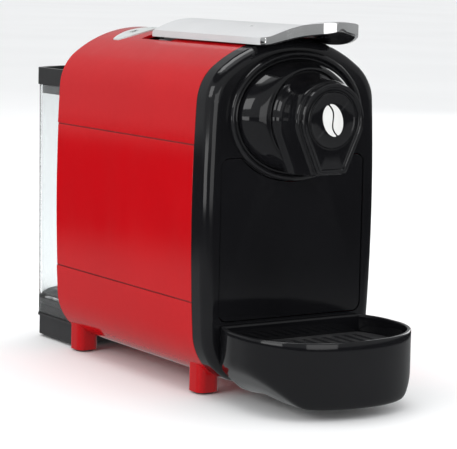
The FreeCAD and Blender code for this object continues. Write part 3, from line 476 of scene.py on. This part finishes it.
def nose_boss():
    """The teardrop boss with its flared foot."""
    front = (BOSS_LOW.y - FACE) / MM
    radius = (BOSS_HIGH.z - NOSE_Z) / MM
    drop = (NOSE_Z - BOSS_LOW.z) / MM
    profile = ((-13.0, 3.6), (-15.6, 3.5), (-16.4, 3.2), (-17.2, 2.2), (-18.2, 1.3), (-20.0, 0.6),
               (-23.0, 0.1), (-27.0, 0.0), (front + 2.2, 0.0), (front + 1.2, -0.15),
               (front + 0.4, -0.6), (front, -1.3))
    rings = [(y, 1, (30, 30), (radius + grow, 11.5 + grow, drop + min(grow, 0.8))) for y, grow in profile]
    mesh = nose_skin("nose_boss_skin", rings, (True, True))
    piece("nose_boss_skin", mesh, "machine", "black_gloss", replaces=["nose_boss"], smooth=40)


def nose_cap():
    """The face plate: a bevelled border, a shallow field and a round recess for the badge."""
    front = (CAP_LOW.y - FACE) / MM
    back = (CAP_HIGH.y - FACE) / MM
    radius = cap_radius()
    drop = cap_drop()
    profile = ((back, 0.2), (back - 1.2, 0.2), (back - 1.6, -0.3), (back - 2.4, -0.3), (front + 0.9, 0.0),
               (front + 0.3, -0.25), (front, -0.9), (front, -1.8), (front + 0.25, -2.4), (front + 1.0, -2.9),
               (front + 1.25, -3.4), (front + 1.3, -3.8))
    rings = [(y, 1, (20, 20), (radius + grow, 10.5 + grow * 0.8, drop + grow)) for y, grow in profile]
    badge = (BADGE_HIGH.x - BADGE_LOW.x) / 2 / MM
    for y, reach in ((front + 1.3, badge + 0.9), (front + 1.0, badge + 0.55), (front + 0.95, badge + 0.3),
                     (front + 1.2, badge + 0.05), (front + 2.0, badge - 0.2)):
        rings.append((y, 0, (reach, reach), (radius, 10.5, drop)))
    mesh = nose_skin("nose_face_plate", rings, (True, True))
    piece("nose_face_plate", mesh, "machine", "black_gloss", replaces=["nose_cap"], smooth=30)


def nose_badge():
    """A smoked disc with a plain bean as its mark."""
    radius = (BADGE_HIGH.x - BADGE_LOW.x) / 2 / MM
    front = (BADGE_LOW.y - FACE) / MM
    back = (BADGE_HIGH.y - FACE) / MM
    rings = [(y, 0, (reach, reach), (24, 10, 33)) for y, reach in
             ((back, radius - 0.2), (front + 0.3, radius - 0.2), (front + 0.05, radius - 0.5),
              (front, radius - 1.0), (front + 0.2, radius - 1.5), (front + 0.5, radius - 2.1),
              (front + 0.55, radius * 0.5), (front + 0.5, 0.6))]
    mesh = nose_skin("badge_disc", rings, (True, True))
    piece("badge_disc", mesh, "machine", "black_gloss", replaces=["nose_badge"], smooth=30)
    lobes = [bean_half(side, front) for side in (-1, 1)]
    piece("badge_bean", joined("badge_bean", lobes), "machine", "black_gloss", MARK_WHITE)


def bean_half(side, front):
    """One half of the bean: a half ellipse whose straight side waves."""
    long_half, short_half, slit, lean = 10.4, 7.3, 0.6, math.radians(20)
    steps = 40
    edge = [(short_half * math.sin(math.pi * i / steps), long_half * math.cos(math.pi * i / steps))
            for i in range(steps + 1)]
    seam = []
    for i in range(steps + 1):
        v = mix(-long_half, long_half, i / steps)
        wave = 1.7 * math.sin(v / long_half * math.pi) * side
        seam.append((slit + wave, v))
    points = [p for p in edge if p[0] > slit + 0.2 + 1.7 * math.sin(p[1] / long_half * math.pi) * side]
    points += [p for p in seam if abs(p[1]) < points[0][1] and p[0] < short_half]
    rings = []
    for y, shrink in ((front + 0.6, 1.0), (front + 0.36, 1.0), (front + 0.3, 0.985)):
        ring = []
        for u, v in points:
            u, v = u * side * shrink, v * shrink
            across = u * math.cos(lean) - v * math.sin(lean)
            up = u * math.sin(lean) + v * math.cos(lean)
            ring.append(Vector((across * MM, FACE + y * MM, NOSE_Z + up * MM)))
        rings.append(ring)
    return loft(f"bean_half_{side}", rings)


# ---------------------------------------------------------------- lever

LEVER_LOW, LEVER_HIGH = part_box("lever_shell")
HEEL = LEVER_HIGH.y / MM
TIP = LEVER_LOW.y / MM + 2.6
BAND_START = -99
BAND_END_PLACE = -101.5
LEVER_BODY_END = -88
LEVER_STEPS = 26
STEEP = 0.62


def lever_form(y):
    """Half width, crest, edge top, edge bottom and underside crest, in millimetres, at depth y."""
    stations = ((HEEL, 30, 235, 227, 222.6, 228.4), (-80, 30, 235, 227, 222.6, 228.4),
                (-98, 30, 235.1, 227.2, 222.7, 228.5), (-108, 29.5, 235.5, 228.2, 223.6, 229.0),
                (-117, 27.8, 236.3, 231.0, 225.6, 230.0), (-125, 24.6, 237.2, 234.0, 227.8, 231.3),
                (-132, 19.8, 238.1, 236.2, 229.6, 232.5), (-138, 13.2, 238.4, 237.2, 230.8, 233.3),
                (-141.5, 7.4, 238.2, 237.6, 231.6, 233.8), (TIP, 2.6, 237.8, 237.6, 232.6, 234.2))
    for k in range(len(stations) - 1):
        near, far = stations[k], stations[k + 1]
        if y >= far[0]:
            t = (y - near[0]) / (far[0] - near[0])
            before = stations[max(k - 1, 0)]
            after = stations[min(k + 2, len(stations) - 1)]
            span = far[0] - near[0]
            sizes = []
            for c in range(1, 6):
                start = 0 if k == 0 else (far[c] - before[c]) / (far[0] - before[0]) * span
                end = (after[c] - near[c]) / (after[0] - near[0]) * span
                sizes.append(near[c] * (2 * t ** 3 - 3 * t ** 2 + 1) + start * (t ** 3 - 2 * t ** 2 + t)
                             + far[c] * (3 * t ** 2 - 2 * t ** 3) + end * (t ** 3 - t ** 2))
            return sizes
    return stations[-1][1:]


def domed(half, edge, crest, steps):
    """Points over the dome from one edge to the other."""
    return [(u * half, edge + (crest - edge) * (1 - u * u)) for u in
            (math.sin(mix(-math.pi / 2, math.pi / 2, i / steps)) for i in range(steps + 1))]


def lever_depths():
    """Depths of the lever's sections, closest together at its heel and its tip."""
    depths = [HEEL - d for d in (0, 0.3, 0.9, 1.8, 3)]
    depths += [mix(HEEL - 3, LEVER_BODY_END, i / 14) for i in range(1, 15)]
    depths += [mix(LEVER_BODY_END, TIP + 4, i / 26) for i in range(1, 27)]
    depths += [TIP + d for d in (2.6, 1.6, 0.9, 0.4, 0.1)]
    return depths


def lever_rings(skin, low_shift, crest_cut, y_range):
    """Closed sections of the lever: top dome, skirt and underside; skin draws them in."""
    rings = []
    for y in lever_depths():
        if not y_range[0] <= y <= y_range[1]:
            continue
        half, crest, edge, low, under = lever_form(y)
        round_off = max(0, 1 - (HEEL - y) / 1.5) * 1.2
        half = max(half - skin, 1.0)
        top = domed(half, edge - round_off - crest_cut, crest - round_off - crest_cut, LEVER_STEPS)
        base = domed(half, low + low_shift, under + low_shift, LEVER_STEPS)
        base.reverse()
        mid = (edge - round_off - crest_cut + low + low_shift) / 2
        points = top + [(half, mid)] + base + [(-half, mid)]
        rings.append([at(x, y, z) for x, z in points])
    return rings


def lever():
    """A satin plate with a chromed band round its upturned tip, over a black underside."""
    mesh = loft("lever_plate_skin", lever_rings(0, 0, 0, (TIP, HEEL)))
    mesh.materials.append(FINISHES["silver_satin"])
    mesh.materials.append(FINISHES["chrome"])
    for face in mesh.polygons:
        middle, normal = face.center / MM, face.normal
        if middle.y < BAND_START and (abs(normal.z) < STEEP or middle.y < TIP + 1.4):
            face.material_index = 1
    obj = bpy.data.objects.new("lever_plate_skin", mesh)
    bpy.context.scene.collection.objects.link(obj)
    mesh.shade_smooth()
    mesh.set_sharp_from_angle(angle=math.radians(40))
    soft = obj.modifiers.new("soft_edges", "BEVEL")
    soft.width = 0.55 * MM
    soft.segments = 3
    soft.limit_method = "ANGLE"
    soft.angle_limit = math.radians(40)
    soft.harden_normals = True
    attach(obj, "lever")
    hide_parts("lever_shell")
    under = loft("lever_underside", lever_rings(2.6, -0.35, 3.0, (TIP + 2.5, 4)))
    piece("lever_underside", under, "lever", "black_gloss", replaces=["lever_insert"], smooth=40)
    band_end(-1)
    band_end(1)


def band_end(side):
    """The small rounded block that closes the chromed band where the skirt begins."""
    rings = []
    for out, shrink in ((-1.6, 1.0), (0.3, 1.0), (0.6, 0.86), (0.7, 0.6)):
        ring = []
        for i in range(32):
            angle = math.tau * i / 32
            c, s = math.cos(angle), math.sin(angle)
            along = 3.0 * shrink * math.copysign(abs(c) ** 0.5, c)
            up = 2.3 * shrink * math.copysign(abs(s) ** 0.5, s)
            y = BAND_END_PLACE + along
            half, _, edge, low, _ = lever_form(y)
            ring.append(at((half + out) * side, y, (edge + low) / 2 + up))
        rings.append(ring)
    name = f"lever_band_end_{'right' if side > 0 else 'left'}"
    piece(name, loft(name, rings), "lever", "silver_satin", FINISHES["chrome"], smooth=40)


# ---------------------------------------------------------------- drip tray

TRAY_LOW, TRAY_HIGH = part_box("drip_tray")
TRAY_BACK = TRAY_LOW.y / MM + 80.8
TRAY_BEND = -125.8
KEEL = TRAY_LOW.z / MM
KEEL_HALF = 38.0
TRAY_MID = -134.0
TRAY_DRAWN_FROM = -119.0
TRAY_DRAWN_OVER = 22.8
BILGE = 0.95
FLOOR_GAUGE = 2.6
TRAY_FLOOR = 20
SIDE_FROM = 3.8
WALL_STEPS = 8


def tray_outline(inset):
    """The tray's plan, clockwise from the back right: drawn in at the machine, a squared round in front."""
    half = TRAY_HIGH.x / MM
    reach = TRAY_BEND - TRAY_LOW.y / MM
    power = 2 / 2.15
    points = []
    for i in range(16):
        y = mix(TRAY_BACK - inset * 0.9, TRAY_BEND, i / 16)
        drawn = max((y - TRAY_DRAWN_FROM) / TRAY_DRAWN_OVER, 0)
        points.append((half - 6.4 * drawn ** 1.7 - inset, y))
    count = 72
    for i in range(count + 1):
        angle = math.pi * i / count
        c, s = math.cos(angle), math.sin(angle)
        points.append(((half - inset) * math.copysign(abs(c) ** power, c),
                       TRAY_BEND - (reach - inset) * abs(s) ** power))
    points += [(-x, y) for x, y in reversed(points[:16])]
    first, last = points[0], points[-1]
    points += [(mix(last[0], first[0], i / 24), first[1]) for i in range(1, 24)]
    return points


def bilge(x, lift):
    """Lowest height of the side over x: level under the keel, sloping out beyond it, with soft bends."""
    rise = (abs(x) - KEEL_HALF) * BILGE
    return KEEL + lift + (rise + math.sqrt(rise * rise + 9)) / 2


def inner_foot(x):
    """Height at which the bowl's inner wall ends."""
    return max(bilge(x, FLOOR_GAUGE), TRAY_FLOOR)


def tray_ring(inset, height, share=1):
    """A section of the tray, drawn in to a share of its size; height gives each point's height over x."""
    return [at(x * share, (y - TRAY_MID) * share + TRAY_MID, height(x * share))
            for x, y in tray_outline(inset)]


def drip_tray():
    """A bowl skinned from under its keel up over the rim and down inside, with two runners behind."""
    rim = TRAY_HIGH.z / MM
    rings = [tray_ring(3.2, lambda x: bilge(x, 0), share) for share in (0.02, 0.3, 0.55, 0.75, 0.88, 0.95)]
    for inset, rise in ((3.2, 0.0), (1.9, 0.3), (0.9, 1.0), (0.3, 2.1), (0.0, SIDE_FROM)):
        rings.append(tray_ring(inset, lambda x: bilge(x, 0) + rise))
    for k in range(1, WALL_STEPS + 1):
        rings.append(tray_ring(0, lambda x: mix(bilge(x, 0) + SIDE_FROM, rim - 0.9, k / WALL_STEPS)))
    for inset, drop in ((0.12, 0.45), (0.4, 0.12), (0.8, 0), (2.0, 0), (2.4, 0.15), (2.6, 0.6), (2.6, 1.4)):
        rings.append(tray_ring(inset, lambda x: rim - drop))
    for k in range(WALL_STEPS + 1):
        rings.append(tray_ring(2.7, lambda x: mix(rim - 2, inner_foot(x), k / WALL_STEPS)))
    for share in (0.97, 0.9, 0.75, 0.5, 0.02):
        rings.append(tray_ring(3.6, lambda x: max(bilge(x, FLOOR_GAUGE), KEEL + FLOOR_GAUGE), share))
    skin = loft("drip_tray_bowl", rings)
    tongues = [tongue(side) for side in (-1, 1)]
    piece("drip_tray_bowl", joined("drip_tray_bowl", [skin, *tongues]), "tray", "black_gloss",
          replaces=["drip_tray"], smooth=38)


def tongue(side):
    """One of the two runners that hold the tray under the machine."""
    rings = []
    for y, grow in ((-99, 0), (-60, 0), (-48, 0), (-45.6, -0.8), (-45.2, -1.8)):
        low, high = 22 - grow * 0.5, 28 + grow
        inner, outer = 30 - grow * 0.3, 38 + grow * 0.3
        rings.append([at(x * side, y, z) for x, z in
                      ((inner, low), (outer, low), (outer, high), (inner, high))])
    return loft(f"tongue_{side}", rings)


# ---------------------------------------------------------------- buttons

ROOF_RADIUS = 85.0
ICON_LIFT = 0.83


def roof(x, lift):
    """Height of the arched top, in millimetres, over x."""
    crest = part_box("top_shell")[1].z / MM
    return crest - ROOF_RADIUS + math.sqrt(ROOF_RADIUS ** 2 - x * x) + lift


def button_icon(name, body, centre, size, filled):
    """A small cup printed on a button."""
    bowl = [(-1.0, 0.55), (1.0, 0.55), (0.86, -0.35), (0.5, -0.8), (-0.5, -0.8), (-0.86, -0.35)]
    inner = [(x * 0.72, y * 0.68 + 0.02) for x, y in bowl]
    grip = [(0.98 + 0.42 * math.sin(math.pi * i / 10), 0.36 * math.cos(math.pi * i / 10)) for i in range(11)]
    mesh = bpy.data.meshes.new(name)
    bm = bmesh.new()

    def vert(u, v):
        x, y = centre[0] + u * size, centre[1] + v * size
        return bm.verts.new((x * MM, y * MM, roof(x, ICON_LIFT) * MM))

    if filled:
        bm.faces.new([vert(u, v) for u, v in bowl])
    else:
        outer_ring = [vert(u, v) for u, v in bowl]
        inner_ring = [vert(u, v) for u, v in inner]
        for i in range(len(bowl)):
            k = (i + 1) % len(bowl)
            bm.faces.new((outer_ring[i], outer_ring[k], inner_ring[k], inner_ring[i]))
    for before, after in zip(grip, grip[1:]):
        inside = [(mix(u, 0.98, 0.35), v * 0.6) for u, v in (after, before)]
        bm.faces.new([vert(u, v) for u, v in (before, after, *inside)])
    bm.faces.new([vert(u, v) for u, v in ((-1.05, -1.05), (1.05, -1.05), (1.05, -1.25), (-1.05, -1.25))])
    bmesh.ops.recalc_face_normals(bm, faces=bm.faces)
    bm.to_mesh(mesh)
    bm.free()
    obj = piece(name, mesh, body, "grey_button", ICON_DARK, smooth=None)
    thick = obj.modifiers.new("print", "SOLIDIFY")
    thick.thickness = 0.05 * MM
    thick.offset = 0


def buttons():
    dress("button_left", "grey_button", 0.45, segments=3)
    dress("button_right", "grey_button", 0.45, segments=3)
    button_icon("icon_small_cup", "button_left_body", (-22, 71.5), 2.3, False)
    button_icon("icon_large_cup", "button_right_body", (22, 71.5), 3.0, True)


# ---------------------------------------------------------------- water tank

TANK_LOW, TANK_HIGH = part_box("water_tank")
TANK_SIDE_END = 156.0
TANK_FLOOR = 30.5
TANK_DRAFT = 1.2
CORNER_STEPS = 8


def tank_outline(inset):
    """Rounded plan of the tank: straight front and sides, a bowed back."""
    half = TANK_HIGH.x / MM - inset
    near = TANK_LOW.y / MM + inset
    back = TANK_HIGH.y / MM
    bow = (TANK_HIGH.x / MM) ** 2 + (back - TANK_SIDE_END) ** 2
    radius = bow / (2 * (back - TANK_SIDE_END))
    centre = back - radius
    bowed = [((radius - inset) * math.sin(a), centre + (radius - inset) * math.cos(a)) for a in
             (mix(1, -1, i / 24) * math.asin((half - 4) / (radius - inset)) for i in range(25))]
    rounding = max(5 - inset * 0.8, 1)
    corner = [(half - rounding + rounding * math.sin(a), near + rounding - rounding * math.cos(a)) for a in
              (math.pi / 2 * i / CORNER_STEPS for i in range(CORNER_STEPS + 1))]
    shoulder = [(half, bowed[0][1] - 5.5), (half - 0.25, bowed[0][1] - 3.6), (half - 1.1, bowed[0][1] - 1.9),
                (half - 2.4, bowed[0][1] - 0.7)]
    points = corner + shoulder + bowed
    points += [(-x, y) for x, y in reversed(shoulder)]
    points += [(-x, y) for x, y in reversed(corner)]
    return points


def tank_ring(inset, z, draft=0.0):
    """One section of the tank; the draft narrows it."""
    points = tank_outline(inset)
    shrink = 1 - draft / 50
    return [at(x * shrink, y, z) for x, y in points]


def water_tank():
    """Clear walls with a slight draft, a moulded floor and a skirt that stands on the base."""
    foot, top = TANK_LOW.z / MM, TANK_HIGH.z / MM
    floor, draft = TANK_FLOOR, TANK_DRAFT
    outer = [tank_ring(0, mix(foot, top, k / 12), mix(draft, 0, k / 12)) for k in range(13)]
    lip = [tank_ring(0.6, top + 0.25), tank_ring(1.6, top + 0.25)]
    inner = [tank_ring(2.2, mix(top, floor + 2, k / 12), mix(0, draft, k / 12)) for k in range(13)]
    base = [tank_ring(3.0, floor + 0.6, draft), tank_ring(5.0, floor, draft)]
    below = [tank_ring(inset, z, draft) for inset, z in
             ((5.0, floor - 2.2), (2.4, floor - 2.4), (2.2, foot + 0.5), (0.1, foot))]
    walls = loft("tank_walls", outer + lip + inner + base, ends=(False, True))
    shelf = loft("tank_shelf", below, ends=(True, False))
    piece("tank_walls", joined("tank_walls", [walls, shelf]), "tank", "clear_tank", replaces=["water_tank"],
          smooth=35)


# ---------------------------------------------------------------- springs, hoses and small works

COIL_RADIUS = 0.0038
COIL_WIRE = 0.0005
COIL_TURNS = 6
COIL_STEPS = 28


def coil(name, start, end, radius, wire, turns):
    """A round wire spring between two points."""
    axis = (end - start).normalized()
    side = axis.orthogonal().normalized()
    other = axis.cross(side)
    count = turns * COIL_STEPS
    points = [start.lerp(end, i / count) + side * radius * math.cos(math.tau * turns * i / count)
              + other * radius * math.sin(math.tau * turns * i / count) for i in range(count + 1)]
    return tube(name, points, wire, 12)


def springs():
    """The pump's return spring, as an open wire coil."""
    low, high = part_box("pump_spring")
    middle = (low + high) / 2
    start = Vector((middle.x, low.y + 0.0006, middle.z))
    end = Vector((middle.x, high.y - 0.0006, middle.z))
    wire = coil("pump_spring_wire", start, end, COIL_RADIUS, COIL_WIRE, COIL_TURNS)
    piece("pump_spring_wire", wire, "piston", "steel", replaces=["pump_spring"], smooth=None)


def screws():
    """Domed cross-head screws in the rear cover."""
    low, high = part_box("shell_screws")
    parts = []
    for x, z in ((-56.5, 80), (56.5, 80), (-55, 176), (55, 176)):
        rings = []
        head = high.y / MM
        for y, reach in ((low.y / MM, 1.4), (head - 1.9, 1.4), (head - 1.8, 3.0), (head - 0.7, 3.0),
                         (head - 0.3, 2.6), (head - 0.08, 1.8), (head, 1.2), (head - 0.9, 0.5)):
            ring = []
            for i in range(48):
                angle = math.tau * i / 48
                cross = abs(math.cos(2 * angle)) ** 6
                span = reach * (1 + 0.45 * cross) if y > head - 0.05 or reach < 0.6 else reach
                ring.append(at(x + span * math.cos(angle), y, z + span * math.sin(angle)))
            rings.append(ring)
        parts.append(loft("screw", rings))
    piece("cross_head_screws", joined("cross_head_screws", parts), "machine", "zinc_steel",
          replaces=["shell_screws"], smooth=30)


def seam_shade_strips():
    """Darker red strips just inside the joints between the red shells: painted shade standing in for the
    shadow in the seam gaps.
    """
    strips = []
    for node, end in (("base_shell", 1), ("top_shell", 0)):
        low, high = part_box(node)
        height = (high.z if end else low.z) / MM + (0.4 if end else -0.4)
        for side in (-1, 1):
            rings = []
            for y in (-78.2, -40, 0, 40, 80, high.y / MM - 0.4):
                outer = (high.x / MM - 0.45) * side
                inner = (high.x / MM - 2.0) * side
                rings.append([at(x, y, z) for x, z in
                              ((outer, height - 0.38), (outer, height + 0.38), (inner, height + 0.38),
                               (inner, height - 0.38))])
            strips.append(loft("seam_strip", rings))
    # The strips carry the darker red: painted shade in the seams.
    piece("seam_shade_strips", joined("seam_shade_strips", strips), "machine", "red_shell", SEAM_SHADE_RED)


def dress_all():
    """Every CAD node that stays in view gets the finish its slot asks for and its own edge softness."""
    edges = {"rubber_feet": 0.25, "valve_spring": 0, "suction_hose": 0, "feed_hose": 0, "pressure_hose": 0,
             "switch_board": 0.12, "control_board": 0.12, "button_guide": 0.2, "indicator_lens": 0.1,
             "thermoblock": 0.25, "front_frame": 0.6, "top_shell": 0.3, "base_shell": 0.3, "tank_lid": 0.7,
             "tank_base": 0.6, "drawer_front": 0.5, "drip_grid": 0.45}
    for part in frame["record"]["subparts"]:
        node = part["node"]
        if node in nodes and not nodes[node].hide_render and node not in ("button_left", "button_right"):
            dress(node, part["material_slot"], edges.get(node, 0.35))


# ---------------------------------------------------------------- studio

def floor_finish():
    g = Graph("studio_floor")
    tone = g.mix(g.spread(g.noise(1.6, 4), 0, 1), (0.9, 0.9, 0.9), (0.93, 0.93, 0.93))
    g.link(tone, g.skin.inputs["Base Color"])
    g.skin.inputs["Specular IOR Level"].default_value = 0.1
    g.link(g.spread(g.noise(2.3, 4), 0.7, 0.8), g.skin.inputs["Roughness"])
    g.bump((g.noise(60, 3), 0.02, 0.1))
    return g.material


def studio():
    """A pale floor that runs to the horizon. Glossy surfaces mirror the room and the lamps in place of it."""
    floor_z = cad_bounds[0][2] - 0.0002
    mesh = bpy.data.meshes.new("floor")
    bm = bmesh.new()
    bmesh.ops.create_grid(bm, x_segments=8, y_segments=8, size=80)
    bm.to_mesh(mesh)
    bm.free()
    floor = bpy.data.objects.new("floor", mesh)
    bpy.context.scene.collection.objects.link(floor)
    floor.location.z = floor_z
    floor.visible_glossy = False
    mesh.materials.append(floor_finish())


CAMERA_TURN = math.radians(-32.66)
CAMERA_RISE = math.radians(6.47)
CAMERA_ROLL = math.radians(1.18)
CAMERA_AWAY = 1.352
CAMERA_AIM = Vector((0, -0.00575, 0.12))
CAMERA_LENS = 159.2
CAMERA_SHIFT = (0.0248, -0.0708)


def camera():
    """The view of the object from its front left, a little above it and slightly rolled."""
    turn, rise = CAMERA_TURN, CAMERA_RISE
    back = Vector((math.sin(turn) * math.cos(rise), -math.cos(turn) * math.cos(rise), math.sin(rise)))
    level = Vector((math.cos(turn), math.sin(turn), 0))
    upright = back.cross(level)
    across = level * math.cos(CAMERA_ROLL) + upright * math.sin(CAMERA_ROLL)
    up = upright * math.cos(CAMERA_ROLL) - level * math.sin(CAMERA_ROLL)
    data = bpy.data.cameras.new("camera")
    data.lens = CAMERA_LENS
    data.sensor_width = 36
    data.sensor_fit = "HORIZONTAL"
    data.shift_x, data.shift_y = CAMERA_SHIFT
    data.clip_end = 20
    data.dof.use_dof = False
    eye = bpy.data.objects.new("camera", data)
    bpy.context.scene.collection.objects.link(eye)
    place = Matrix((across, up, back)).transposed().to_4x4()
    place.translation = CAMERA_AIM + back * CAMERA_AWAY
    eye.matrix_world = place
    bpy.context.scene.camera = eye


def lamp(name, place, target, size, power, colour=(1, 1, 1)):
    data = bpy.data.lights.new(name, "AREA")
    data.shape = "RECTANGLE"
    data.size, data.size_y = size
    data.energy = power
    data.color = colour
    obj = bpy.data.objects.new(name, data)
    bpy.context.scene.collection.objects.link(obj)
    obj.location = place
    obj.rotation_euler = (Vector(target) - Vector(place)).to_track_quat("-Z", "Y").to_euler()
    obj.visible_camera = False


def room():
    """Pale all round, with a banded grey room in place of it for what glossy surfaces mirror."""
    world = bpy.data.worlds.new("studio")
    world.use_nodes = True
    tree = world.node_tree
    pale = tree.nodes["Background"]
    pale.inputs["Color"].default_value = (0.98, 0.99, 1.0, 1)
    pale.inputs["Strength"].default_value = 1.0
    dim = tree.nodes.new("ShaderNodeBackground")
    dim.inputs["Strength"].default_value = 1
    place = tree.nodes.new("ShaderNodeTexCoord")
    split = tree.nodes.new("ShaderNodeSeparateXYZ")
    height = tree.nodes.new("ShaderNodeMapRange")
    height.inputs["From Min"].default_value = -1
    bands = tree.nodes.new("ShaderNodeValToRGB")
    stops = ((0.0, 0.3), (0.41, 0.3), (0.425, 0.03), (0.47, 0.03), (0.485, 0.34), (0.7, 0.4), (0.8, 0.36),
             (0.84, 0.05), (0.92, 0.06), (0.96, 1.1))
    for _ in stops[2:]:
        bands.color_ramp.elements.new(0.5)
    for stop, (place_at, level) in zip(bands.color_ramp.elements, stops):
        stop.position = place_at
        stop.color = (level * 0.97, level * 0.99, level, 1)
    tree.links.new(place.outputs["Generated"], split.inputs["Vector"])
    tree.links.new(split.outputs["Z"], height.inputs["Value"])
    tree.links.new(height.outputs["Result"], bands.inputs["Fac"])
    tree.links.new(bands.outputs["Color"], dim.inputs["Color"])
    path = tree.nodes.new("ShaderNodeLightPath")
    either = tree.nodes.new("ShaderNodeMixShader")
    tree.links.new(path.outputs["Is Glossy Ray"], either.inputs["Fac"])
    tree.links.new(pale.outputs[0], either.inputs[1])
    tree.links.new(dim.outputs[0], either.inputs[2])
    tree.links.new(either.outputs[0], tree.nodes["World Output"].inputs["Surface"])
    bpy.context.scene.world = world
    bpy.context.scene.view_settings.view_transform = "Standard"


def lights():
    """One broad lamp overhead and four softer ones round the sides."""
    lamp("overhead", (0.0, 0.3, 1.6), (0, 0, 0.1), (1.5, 0.8), 10)
    lamp("left_high", (-1.25, -0.3, 0.72), (0, -0.1, 0.17), (0.9, 0.5), 3.6)
    lamp("left_low", (-1.3, -0.3, 0.06), (0, -0.1, 0.17), (0.8, 0.16), 0.9)
    lamp("right_wall", (2.0, 1.1, 0.75), (0, -0.1, 0.17), (1.2, 0.8), 8)
    lamp("front_wall", (-0.5, -2.3, 0.25), (0, -0.1, 0.12), (1.5, 0.8), 4.5)


nose_ring()
nose_dome()
nose_boss()
nose_cap()
nose_badge()
lever()
drip_tray()
water_tank()
springs()
screws()
buttons()
seam_shade_strips()
dress_all()
studio()
room()
lights()
camera()
